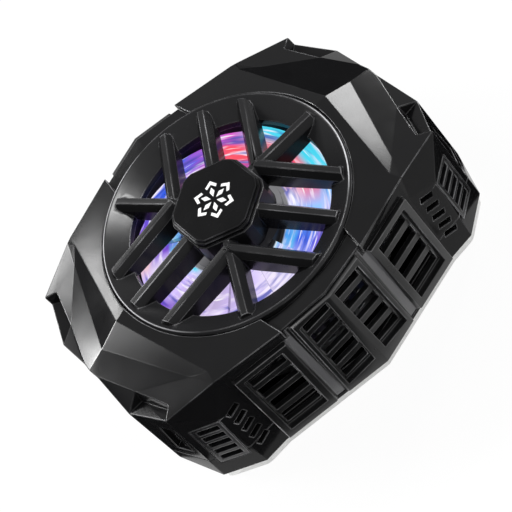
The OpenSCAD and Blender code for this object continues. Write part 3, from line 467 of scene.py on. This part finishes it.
tree.links.new(mixed(tree, dull, metal_in["Colour"], metal_in["Dull Colour"]), metal_out["Colour"])
wander = maths(tree, "MULTIPLY", fitted(tree, scratch, 0.3, 0.7, -1.0, 1.0), metal_in["Spread"])
tree.links.new(maths(tree, "ADD", wander, metal_in["Roughness"]), metal_out["Roughness"])
tree.links.new(scratch, metal_out["Height"])


def metal(
    name, colour, dull_colour, roughness, stretch=(3000.0, 3000.0, 3000.0), turned=0.0, spread=0.06, bump=0.08
):
    """A worked metal finish; stretch gives the marks per metre along each axis"""
    return dress(
        finish_for(name, {"Metallic": 1.0}),
        worked_metal,
        {"Colour": colour, "Dull Colour": dull_colour, "Stretch": stretch, "Turned": turned,
         "Roughness": roughness, "Spread": spread},
        bump, 0.01,
    )


brushed = (60.0, 5000.0, 5000.0)
cold_face = metal("brushed_aluminium", shade(0.78, 0.79, 0.80), shade(0.60, 0.61, 0.63), 0.30, brushed)
soften(wear("cold_plate", cold_face), 0.15)

# Holding magnets: sixteen flat discs in pockets round the cold plate, which hold the cooler to a
# phone's steel ring. They are sintered, plated with nickel, and pressed in behind the pad.
plated = (1500.0, 1500.0, 1500.0)
nickel = metal("plated_nickel", shade(0.66, 0.66, 0.64), shade(0.52, 0.52, 0.51), 0.22, plated)
soften(wear("holding_magnets", nickel), 0.12)

# Thermoelectric module: two white alumina plates with rows of dark pellets soldered between them,
# and two insulated leads, red and black, to the control board.
alumina = moulded(
    "white_alumina", shade(0.84, 0.83, 0.80), shade(0.88, 0.88, 0.86), 0.62, 0.4, grain=0.12, rub_and_highlight=0.3
)
for name in ("module_hot_side", "module_cold_side"):
    soften(wear(name, alumina), 0.06)
cast = (2400.0, 2400.0, 900.0)
pellet_metal = metal("cast_pellet", shade(0.42, 0.43, 0.45), shade(0.24, 0.25, 0.27), 0.42, cast)
wear("module_pellets", pellet_metal)
lead_cover = moulded(
    "lead_insulation", shade(0.42, 0.03, 0.03), shade(0.50, 0.10, 0.09), 0.42, 0.4, grain=0.3, rub_and_highlight=0.2
)
tree = lead_cover.node_tree
is_black = maths(tree, "LESS_THAN", axes_of(tree, object_place(tree))[1], 0.0)
paint_over(lead_cover, is_black, shade(0.015, 0.015, 0.016))
wear("module_leads", lead_cover)

# Foam gasket: a square frame of black closed-cell foam round the module, cut from sheet. It keeps damp
# air off the module and is squeezed a little between the cold plate and the heat sink.
foam = moulded(
    "black_foam", shade(0.020, 0.020, 0.021), shade(0.035, 0.035, 0.036), 0.85, 0.2, grain=0.5, bump=0.6
)
soft_copy("foam_gasket", "soft_foam_gasket", foam, 0.3)

# Rear cover: the lower half of the housing, moulded in black plastic, with the floor, the posts and the
# pockets for the magnets. Its visible strip runs round below the seam.
# Its edges are painted paler as wear and as painted highlights, more on the edges facing +X.
shell = moulded(
    "satin_black_shell", shade(0.0060, 0.0060, 0.0064), shade(0.80, 0.80, 0.82), 0.13, 0.115,
    rub_and_highlight=0.25, bump=0.02, spread=0.02, highlight_side=(1, 0, 0), side_highlight=0.6,
)
facet_angle = 2.5
soften(wear("rear_cover", shell), 0.12, facet_angle)

# Heat sink: a round base with straight fins towards the side vents, extruded and turned from
# aluminium and anodised dark. Four screws hold it down over the module.
extruded = (60.0, 4000.0, 2500.0)
sink_finish = metal(
    "anodised_aluminium", shade(0.34, 0.345, 0.355), shade(0.22, 0.225, 0.235), 0.38, extruded
)
soften(wear("heat_sink", sink_finish), 0.08)
threaded = (4000.0, 4000.0, 9000.0)
screw_steel = metal("plated_screw", shade(0.50, 0.50, 0.51), shade(0.36, 0.36, 0.37), 0.32, threaded)
for name in ("sink_screws", "fan_screws", "board_screws", "housing_screws"):
    wear(name, screw_steel)

# Fan holder: a black moulded spider on the fins, whose disc and tube carry the motor. Four screws at
# the ends of its arms go into the heat sink's posts.
holder_plastic = moulded("holder_plastic", shade(0.012, 0.012, 0.013), shade(0.05, 0.05, 0.052), 0.38, 0.3)
soften(wear("fan_holder", holder_plastic), 0.1)

# Motor, fixed half: a sintered bronze bush over a thrust plate, a core of stacked steel sheets with six
# wound poles, and a round board under it with a green mask and copper tracks.
pressed_powder = (7000.0, 7000.0, 7000.0)
sintered = metal(
    "sintered_bronze", shade(0.62, 0.42, 0.20), shade(0.36, 0.23, 0.10), 0.45, pressed_powder, bump=0.3
)
wear("bearing_bush", sintered)
thrust_plastic = moulded("thrust_plastic", shade(0.70, 0.70, 0.67), shade(0.76, 0.76, 0.74), 0.4, 0.4)
wear("thrust_plate", thrust_plastic)
sheet_edges = (200.0, 200.0, 9000.0)
stacked = metal(
    "stacked_sheets", shade(0.46, 0.46, 0.47), shade(0.16, 0.16, 0.17), 0.40, sheet_edges, bump=0.3
)
wear("stator_core", stacked)


def grown(name, sizes, build, material, body):
    """A piece that a geometry node tree makes from its named sizes, as a plain mesh"""
    tree = bpy.data.node_groups.new(name, "GeometryNodeTree")
    for label, (kind, _) in sizes.items():
        tree.interface.new_socket(label, in_out="INPUT", socket_type="NodeSocket" + kind)
    tree.interface.new_socket("Geometry", in_out="OUTPUT", socket_type="NodeSocketGeometry")
    shape = build(tree, tree.nodes.new("NodeGroupInput").outputs)
    plain = add(tree, "GeometryNodeRealizeInstances", {0: shape}).outputs[0]
    dressed = add(tree, "GeometryNodeSetMaterial", {0: plain, "Material": material}).outputs[0]
    tree.links.new(dressed, tree.nodes.new("NodeGroupOutput").inputs[0])
    grower = bpy.data.objects.new(name + "_grower", bpy.data.meshes.new(name + "_grower"))
    scene.collection.objects.link(grower)
    modifier = grower.modifiers.new("grown", "NODES")
    modifier.node_group = tree
    for item in tree.interface.items_tree:
        if item.in_out == "INPUT":
            modifier[item.identifier] = sizes[item.name][1]
    made = bpy.data.meshes.new_from_object(grower.evaluated_get(bpy.context.evaluated_depsgraph_get()))
    made.name = name
    bpy.data.objects.remove(grower)
    piece = new_piece(name, made)
    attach(piece, body)
    return piece


def joined_shapes(tree, *shapes):
    """Several geometries as one"""
    made = tree.nodes.new("GeometryNodeJoinGeometry")
    for shape in shapes:
        tree.links.new(shape, made.inputs[0])
    return made.outputs[0]


def on_points(tree, points, shape):
    """The shape repeated on points"""
    return add(tree, "GeometryNodeInstanceOnPoints", {"Points": points, "Instance": shape})


def repeated_round(tree, shape, count):
    """The shape repeated about the Z axis"""
    points = add(tree, "GeometryNodeMeshCircle", {"Vertices": count, "Radius": 0.0}).outputs["Mesh"]
    step = maths(tree, "DIVIDE", math.tau, count)
    angle = maths(tree, "MULTIPLY", tree.nodes.new("GeometryNodeInputIndex").outputs[0], step)
    copies = on_points(tree, points, shape)
    turn = add(tree, "ShaderNodeCombineXYZ", {2: angle}).outputs[0]
    tree.links.new(turn, copies.inputs["Rotation"])
    return copies.outputs[0]


def row_of(tree, count, start, step):
    """Points in a straight row"""
    return add(
        tree, "GeometryNodeMeshLine", {"Count": count, "Start Location": start, "Offset": step}
    ).outputs[0]


coil_low, coil_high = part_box("stator_coils")
core_low, core_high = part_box("stator_core")
coil_out = coil_high[0]
coil_in = 4.63 * MM
pole_wide = 1.6 * MM
coil_middle = (coil_low[2] + coil_high[2]) / 2
wire = 0.1 * MM
wire_bend = 0.25 * MM
turn_count = 7
turn_step = (coil_out - coil_in - 2 * wire) / (turn_count - 1)
layer_offsets = (2.0, 6.0)


def coil_turns(tree, size):
    """Two layers of round wire turns on each pole"""
    layers = []
    for offset in layer_offsets:
        around = maths(tree, "MULTIPLY", size["Wire Radius"], offset)
        wide, high = (maths(tree, "ADD", size[label], around) for label in ("Pole Width", "Pole Height"))
        loop = add(
            tree, "GeometryNodeCurvePrimitiveQuadrilateral", {"Width": high, "Height": wide}
        ).outputs[0]
        eased = add(
            tree, "GeometryNodeFilletCurve", {"Curve": loop, "Radius": wire_bend, "Count": 3}, mode="POLY"
        ).outputs[0]
        section = add(
            tree, "GeometryNodeCurvePrimitiveCircle", {"Resolution": 6, "Radius": size["Wire Radius"]}
        ).outputs[0]
        turn = add(tree, "GeometryNodeCurveToMesh", {"Curve": eased, "Profile Curve": section}).outputs[0]
        upright = (0.0, math.pi / 2, 0.0)
        layers.append(add(tree, "GeometryNodeTransform", {"Geometry": turn, "Rotation": upright}).outputs[0])
    row = row_of(tree, size["Turns"], size["First Turn"], size["Turn Step"])
    coil = on_points(tree, row, joined_shapes(tree, *layers)).outputs[0]
    return repeated_round(tree, coil, size["Poles"])


wound = (2500.0, 2500.0, 2500.0)
enamelled = metal("enamelled_copper", shade(0.62, 0.26, 0.11), shade(0.42, 0.15, 0.06), 0.28, wound)
windings = grown("coil_windings", {
    "Poles": ("Int", 6),
    "Turns": ("Int", turn_count),
    "Wire Radius": ("Float", wire),
    "Pole Width": ("Float", pole_wide),
    "Pole Height": ("Float", core_high[2] - core_low[2]),
    "First Turn": ("Vector", (coil_in + wire, 0.0, coil_middle)),
    "Turn Step": ("Vector", (turn_step, 0.0, 0.0)),
}, coil_turns, enamelled, "housing")
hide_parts("stator_coils")

printed_board, board_in, board_out = effect(
    "printed_board",
    [("Mask", "Color"), ("Track", "Color"), ("Tracks per Metre", "Float")],
    [("Colour", "Color"), ("Roughness", "Float"), ("Height", "Float")],
)
tree = printed_board
cells = add(tree, "ShaderNodeTexVoronoi", {
    "Vector": object_place(tree), "Scale": board_in["Tracks per Metre"], "Randomness": 0.85,
}, distance="CHEBYCHEV").outputs["Distance"]
track = fitted(tree, maths(tree, "PINGPONG", cells, 0.16), 0.07, 0.09, 0.0, 1.0)
tree.links.new(mixed(tree, track, board_in["Mask"], board_in["Track"]), board_out["Colour"])
tree.links.new(fitted(tree, track, 0.0, 1.0, 0.34, 0.26), board_out["Roughness"])
tree.links.new(track, board_out["Height"])
mask_green, track_green = shade(0.010, 0.075, 0.030), shade(0.030, 0.16, 0.060)
board_finish = dress(
    finish_for("green_board", {"Specular IOR Level": 0.5}),
    printed_board,
    {"Mask": mask_green, "Track": track_green, "Tracks per Metre": 520.0},
    0.3, 0.02,
)
for name in ("motor_board", "light_board", "control_board"):
    soften(wear(name, board_finish), 0.05)

# Rotor: a drawn steel cup with a ring magnet inside its wall and a ground shaft in its middle. The cup
# is pressed into the impeller's hub, and they all turn together.
turned_rings = (6000.0, 0.0, 900.0)
drawn_steel = metal(
    "drawn_steel", shade(0.58, 0.58, 0.60), shade(0.42, 0.42, 0.44), 0.28, turned_rings, turned=1.0
)
wear("rotor_cup", drawn_steel)
ferrite = metal("ring_magnet", shade(0.12, 0.12, 0.125), shade(0.07, 0.07, 0.075), 0.55, bump=0.2)
wear("rotor_magnet", ferrite)
ground = (300.0, 300.0, 12000.0)
ground_steel = metal("ground_shaft", shade(0.72, 0.72, 0.74), shade(0.58, 0.58, 0.60), 0.16, ground)
wear("motor_shaft", ground_steel)

# Impeller: thirteen pitched blades on a round hub, moulded in clear plastic under a rainbow film. Its
# light is painted on as a glow of coloured arcs with painted white glints, bright on the faces towards its
# front, and the hub is painted lit and shaded by share of a turn.
film, tree, shader = finish_for("rainbow_film", {
    "Roughness": 0.3, "Specular IOR Level": 0.2, "Emission Strength": 1.0,
})


def round_place(tree):
    """The radius, direction and share of a turn of a point about the fan's axis"""
    axes = axes_of(tree, object_place(tree))
    across, radius = off_axis(tree, axes)
    heading = maths(tree, "ARCTAN2", axes[1], axes[0])
    return radius, vectors(tree, "NORMALIZE", across), fitted(tree, heading, -math.pi, math.pi, 0.0, 1.0)


film_radius, film_circle, film_sector = round_place(tree)


def arcs(tree, fineness, slowness, detail):
    """Noise drawn out into arcs about the fan's axis"""
    lift = add(tree, "ShaderNodeCombineXYZ", {2: maths(tree, "MULTIPLY", film_radius, fineness)}).outputs[0]
    slow = add(
        tree, "ShaderNodeVectorMath", {0: film_circle, "Scale": slowness}, operation="SCALE"
    ).outputs[0]
    return noise(tree, vectors(tree, "ADD", slow, lift), 1.0, detail)


def ramp(tree, factor, stops):
    """A colour ramp with its stops by position"""
    made = add(tree, "ShaderNodeValToRGB", {0: factor})
    elements = made.color_ramp.elements
    while len(elements) < len(stops):
        elements.new(0.5)
    for element, (position, colour) in zip(elements, stops):
        element.position = position
        element.color = shade(*colour)
    return made.outputs[0]


cyan, pale_blue, blue = (0.07, 0.66, 0.85), (0.28, 0.55, 1.0), (0.03, 0.11, 0.76)
violet, lavender, magenta = (0.20, 0.07, 0.62), (0.62, 0.50, 0.95), (0.70, 0.11, 0.58)
coral, peach, paper, mist = (0.90, 0.08, 0.13), (1.0, 0.62, 0.46), (0.88, 0.80, 0.97), (0.52, 0.42, 0.68)
hub_painted_lit_grey, hub_painted_shadow_grey, deep_blue = (0.20, 0.20, 0.21), (0.015, 0.015, 0.017), (0.05, 0.07, 0.42)
black = shade(0.0, 0.0, 0.0)
inner_colours = ramp(tree, film_sector, [
    (0.0, cyan), (0.07, paper), (0.17, lavender), (0.23, paper), (0.29, cyan), (0.36, pale_blue),
    (0.43, paper), (0.49, peach), (0.58, coral), (0.64, violet), (0.72, blue), (0.80, lavender),
    (0.91, cyan), (1.0, cyan),
])
middle_colours = ramp(tree, film_sector, [
    (0.0, lavender), (0.05, mist), (0.10, mist), (0.16, lavender), (0.22, paper), (0.31, blue),
    (0.38, pale_blue), (0.43, coral), (0.58, coral), (0.65, coral), (0.72, magenta), (0.78, paper),
    (0.86, blue), (0.90, violet), (0.95, paper), (1.0, lavender),
])
outer_colours = ramp(tree, film_sector, [
    (0.0, violet), (0.07, mist), (0.14, lavender), (0.22, paper), (0.31, violet), (0.36, lavender),
    (0.40, pale_blue), (0.45, cyan), (0.59, cyan), (0.64, magenta), (0.72, blue), (0.79, blue),
    (0.86, violet), (0.91, peach), (0.95, lavender), (1.0, violet),
])
# Painted light and shade on the hub: a lit grey and a shadow grey by share of a turn.
hub_painted_light_and_shade = ramp(tree, film_sector, [
    (0.0, hub_painted_lit_grey), (0.08, hub_painted_shadow_grey), (0.36, hub_painted_shadow_grey), (0.41, hub_painted_lit_grey), (0.5, hub_painted_lit_grey),
    (0.58, hub_painted_shadow_grey), (0.93, hub_painted_shadow_grey), (1.0, hub_painted_lit_grey),
])
sway = 2.0 * MM
inner_end = 11.0 * MM
middle_from = 14.0 * MM
middle_to = 16.5 * MM
outer_from = 19.0 * MM
wobble = fitted(tree, arcs(tree, 300.0, 1.4, 2.0), 0.3, 0.7, -sway, sway)
drift = maths(tree, "ADD", wobble, film_radius)
to_middle = fitted(tree, drift, inner_end, middle_from, 0.0, 1.0)
to_outer = fitted(tree, drift, middle_to, outer_from, 0.0, 1.0)
base_arcs = mixed(tree, to_outer, mixed(tree, to_middle, inner_colours, middle_colours), outer_colours)
light_arcs = fitted(tree, arcs(tree, 900.0, 2.2, 3.0), 0.55, 0.70, 0.0, 0.85)
# Painted glints: fine white arcs over the film.
painted_glint_arcs = fitted(tree, arcs(tree, 2600.0, 3.0, 2.0), 0.60, 0.70, 0.0, 0.8)
dark_arcs = fitted(tree, arcs(tree, 700.0, 1.8, 2.0), 0.46, 0.32, 0.0, 0.85)
paled = mixed(tree, light_arcs, base_arcs, shade(*paper))
streaked = mixed(tree, painted_glint_arcs, paled, shade(1.0, 0.97, 1.0))
deepened = mixed(tree, dark_arcs, streaked, shade(*deep_blue))
hub_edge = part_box("rotor_cup")[1][0] + 1.6 * MM
on_hub = fitted(tree, film_radius, hub_edge, hub_edge + 0.4 * MM, 1.0, 0.0)
coloured = mixed(tree, on_hub, deepened, hub_painted_light_and_shade)
# Painted glow: full on the faces towards the front, fading to black on the faces away from it.
face_up = axes_of(tree, add(tree, "ShaderNodeNewGeometry").outputs["Normal"])[2]
front_glow_share = fitted(tree, face_up, -0.3, 0.4, 0.05, 1.0)
painted_film_glow = mixed(tree, front_glow_share, black, coloured)
unlit_share = 0.3
tree.links.new(painted_film_glow, shader.inputs["Emission Color"])
tree.links.new(mixed(tree, unlit_share, black, painted_film_glow), shader.inputs["Base Color"])
wear("impeller", film)

# Light ring: a clear ring round the fan, lit from below by twelve lamps on a round board. The lamps
# are white packages, and the ring's frosted faces spread their light, painted on the ring as a faint glow.
frosted, tree, shader = finish_for("frosted_ring", {
    "Roughness": 0.6, "Specular IOR Level": 0.2, "Emission Strength": 0.03,
})
haze = fitted(tree, noise(tree, object_place(tree), 260.0, 2.0), 0.3, 0.7, 0.0, 1.0)
ring_colour_and_painted_glow = mixed(tree, haze, shade(0.014, 0.014, 0.020), shade(0.022, 0.020, 0.028))
tree.links.new(ring_colour_and_painted_glow, shader.inputs["Base Color"])
tree.links.new(ring_colour_and_painted_glow, shader.inputs["Emission Color"])
soften(wear("light_ring", frosted), 0.1)
lamp_white, tree, shader = finish_for("lamp_package", {"Roughness": 0.3, "Emission Strength": 1.0})
lamp_low, lamp_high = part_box("lamps_group")
lens_start = lamp_low[2] + 0.35 * MM
lens = fitted(tree, axes_of(tree, object_place(tree))[2], lens_start, lamp_high[2], 0.0, 1.0)
lamp_colour = mixed(tree, lens, shade(0.75, 0.75, 0.72), shade(0.95, 0.86, 0.45))
tree.links.new(lamp_colour, shader.inputs["Base Color"])
tree.links.new(mixed(tree, lens, black, shade(0.6, 0.66, 1.0)), shader.inputs["Emission Color"])
soften(wear("lamps_group", lamp_white), 0.06)

# Electronics: two moulded chips on the control board, and the power socket in the end wall: a folded
# steel shell round a black tongue with plated contacts on both faces.
chip_black = moulded(
    "chip_black", shade(0.014, 0.014, 0.015), shade(0.05, 0.05, 0.05), 0.5, 0.35, grain=0.12
)
soften(wear("board_chips", chip_black), 0.08)
soften(wear("socket_tongue", chip_black), 0.06)
rolled = (120.0, 4000.0, 4000.0)
folded_steel = metal("folded_steel", shade(0.62, 0.62, 0.63), shade(0.48, 0.48, 0.49), 0.25, rolled)
soften(wear("socket_shell", folded_steel), 0.08)
tongue_low, tongue_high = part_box("socket_tongue")
contact_size = Vector((3.6, 0.24, 0.06)) * MM
contact_step = 0.46 * MM
contact_count = 12
contact_inset = 0.4 * MM
contact_x = tongue_high[0] - contact_inset - contact_size.x / 2
contact_y = -contact_step * (contact_count - 1) / 2


def contact_rows(tree, size):
    """A row of flat contacts on each face of the tongue"""
    strip = add(tree, "GeometryNodeMeshCube", {"Size": size["Contact"]}).outputs[0]
    rows = [
        row_of(tree, size["Count"], size[label], size["Step"]) for label in ("Upper Start", "Lower Start")
    ]
    return on_points(tree, joined_shapes(tree, *rows), strip).outputs[0]


gold = metal("plated_contact", shade(0.86, 0.62, 0.26), shade(0.66, 0.45, 0.17), 0.22, rolled)
grown("socket_contacts", {
    "Contact": ("Vector", contact_size),
    "Count": ("Int", contact_count),
    "Step": ("Vector", (0.0, contact_step, 0.0)),
    "Upper Start": ("Vector", (contact_x, contact_y, tongue_high[2])),
    "Lower Start": ("Vector", (contact_x, contact_y, tongue_low[2])),
}, contact_rows, gold, "housing")

# Front cover: the faceted upper half of the housing, moulded in satin black plastic. Its flats meet in
# crisp edges, painted a little paler as wear and as painted highlights, and it seats the grille in its round
# opening.
soften(wear("front_cover", shell), 0.12, facet_angle)

# Vent panels: one slotted insert in each long side, moulded in dark grey and clipped in behind the
# wall. Each has four blocks; the grooves beside the middle two get a painted sheen, and the edges get
# painted highlights, most on those facing -X.
vent_grey = moulded(
    "vent_grey", shade(0.0085, 0.0085, 0.0090), shade(0.75, 0.75, 0.77), 0.30, 0.55,
    rub_and_highlight=0.18, bump=0.05, highlight_side=(-1, 0, 0), side_highlight=0.8,
)
groove_at = 9.8 * MM
groove_half = 0.75 * MM
groove_fade = 0.1 * MM
# Painted sheen: a paler grey on the grooves beside the middle blocks, where their faces catch the light.
tree = vent_grey.node_tree
from_middle = maths(tree, "ABSOLUTE", axes_of(tree, object_place(tree))[0])
off_groove = maths(tree, "ABSOLUTE", maths(tree, "SUBTRACT", from_middle, groove_at))
groove_painted_sheen = fitted(tree, off_groove, groove_half, groove_half + groove_fade, 1.0, 0.0)
paint_over(vent_grey, groove_painted_sheen, shade(0.12, 0.12, 0.125))
panel_angle = 8
for name in ("left_vent_panel", "right_vent_panel"):
    soften(wear(name, vent_grey), 0.14, panel_angle)

# Corner louvers: four framed inserts with thin slanted fins, moulded in dark grey, one in each corner wall.
# They are pressed in from outside; light catches on the fins' edges, which are also painted paler as wear
# and as painted highlights.
louver_grey = moulded("louver_grey", shade(0.009, 0.009, 0.010), shade(0.45, 0.45, 0.47), 0.28, 0.7, rub_and_highlight=0.5)
soften(wear("corner_louvers", louver_grey), 0.1, panel_angle)

# Grille: a dished rim with twelve spokes and a six-sided hub, moulded in black in one piece. It drops
# into the front cover's seat, and its lip stands a little proud of the plate, with a painted highlight along
# it.
grille_rub_and_highlight = shade(0.62, 0.62, 0.64)
grille_black = moulded("grille_black", shade(0.0085, 0.0085, 0.0090), grille_rub_and_highlight, 0.26, 0.11, bump=0.03)
grille_angle = 20
soften(wear("fan_grille", grille_black), 0.09, grille_angle)
hub_end = 9.5 * MM
spokes_start = 13.0 * MM


def round_rub_and_highlight(material, stops, hub_share=1.0):
    """Edge paling, part wear and part painted highlight, that varies by share of a turn and is less at the
    hub; returns radius and paling
    """
    tree = material.node_tree
    skin = next(n for n in tree.nodes if n.type == "GROUP")
    radius, _, sector = round_place(tree)
    around = ramp(tree, sector, [(position, (share, share, share)) for position, share in stops])
    # The edge paling by share of a turn is part wear and part painted highlight.
    worn = maths(tree, "MULTIPLY", around, fitted(tree, radius, hub_end, spokes_start, hub_share, 1.0))
    tree.links.new(worn, skin.inputs["Rub"])
    return radius, worn


# Painted highlights: the grille's edges are painted paler over the shares of the turn where they would catch
# the light.
grille_radius, grille_rub_and_highlight_share = round_rub_and_highlight(grille_black, [
    (0.0, 0.9), (0.05, 0.7), (0.12, 0.3), (0.36, 0.3), (0.39, 1.0), (0.48, 1.0), (0.54, 0.35), (0.76, 0.35),
    (0.81, 1.0), (1.0, 0.9),
], 0.25)
lip_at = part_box("fan_grille")[1][0] - 0.45 * MM
lip_half = 0.10 * MM
tree = grille_black.node_tree
# A painted highlight along the lip, where the edge paling is strong.
on_lip = maths(tree, "COMPARE", grille_radius, lip_at, lip_half)
painted_lip_highlight = maths(tree, "MULTIPLY", fitted(tree, grille_rub_and_highlight_share, 0.35, 1.0, 0.0, 0.5), on_lip)
paint_over(grille_black, painted_lip_highlight, grille_rub_and_highlight)

# Hub cap: a six-sided plate with a raised face, glued on the hub by its peg, in deeper black. A small
# snowflake of six arms is printed on it in white ink.
cap_black = moulded(
    "cap_black", shade(0.0035, 0.0035, 0.0038), shade(0.34, 0.34, 0.36), 0.26, 0.06, bump=0.03
)
soften(wear("hub_cap", cap_black), 0.14, grille_angle)
# Painted highlights on the cap's edges, strongest over one share of the turn.
round_rub_and_highlight(cap_black, [
    (0.0, 1.0), (0.05, 1.0), (0.15, 0.5), (0.3, 0.3), (0.8, 0.3), (0.86, 1.0), (1.0, 1.0),
])
print_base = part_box("hub_cap")[1][2] - 0.01 * MM
print_thick = 0.03 * MM
kite = [(0.60, 0.0), (1.75, -0.50), (2.70, 0.0), (1.75, 0.50)]
chevron = [(4.20, 0.0), (3.05, 1.18), (2.55, 0.89), (3.35, 0.0), (2.55, -0.89), (3.05, -1.18)]
arm_points = [(x * MM, y * MM, print_base) for x, y in kite + chevron]
arm_mesh = bpy.data.meshes.new("mark_arm")
arm_mesh.from_pydata(arm_points, [], [(0, 1, 2, 3), (4, 5, 6, 7), (4, 7, 8, 9)])
arm = new_piece("mark_arm", arm_mesh)


def six_arms(tree, size):
    """The printed arm, thickened and repeated about the hub"""
    flat = add(tree, "GeometryNodeObjectInfo", {"Object": arm}).outputs["Geometry"]
    raised = add(tree, "GeometryNodeExtrudeMesh", {
        "Mesh": flat, "Offset Scale": size["Thickness"], "Individual": False,
    }).outputs[0]
    return repeated_round(tree, raised, size["Arms"])


ink = moulded("white_ink", shade(0.80, 0.80, 0.80), shade(0.84, 0.84, 0.84), 0.5, 0.3, grain=0.1, rub_and_highlight=0.0)
grown(
    "printed_mark", {"Arms": ("Int", 6), "Thickness": ("Float", print_thick)}, six_arms, ink, "housing"
)
bpy.data.objects.remove(arm)
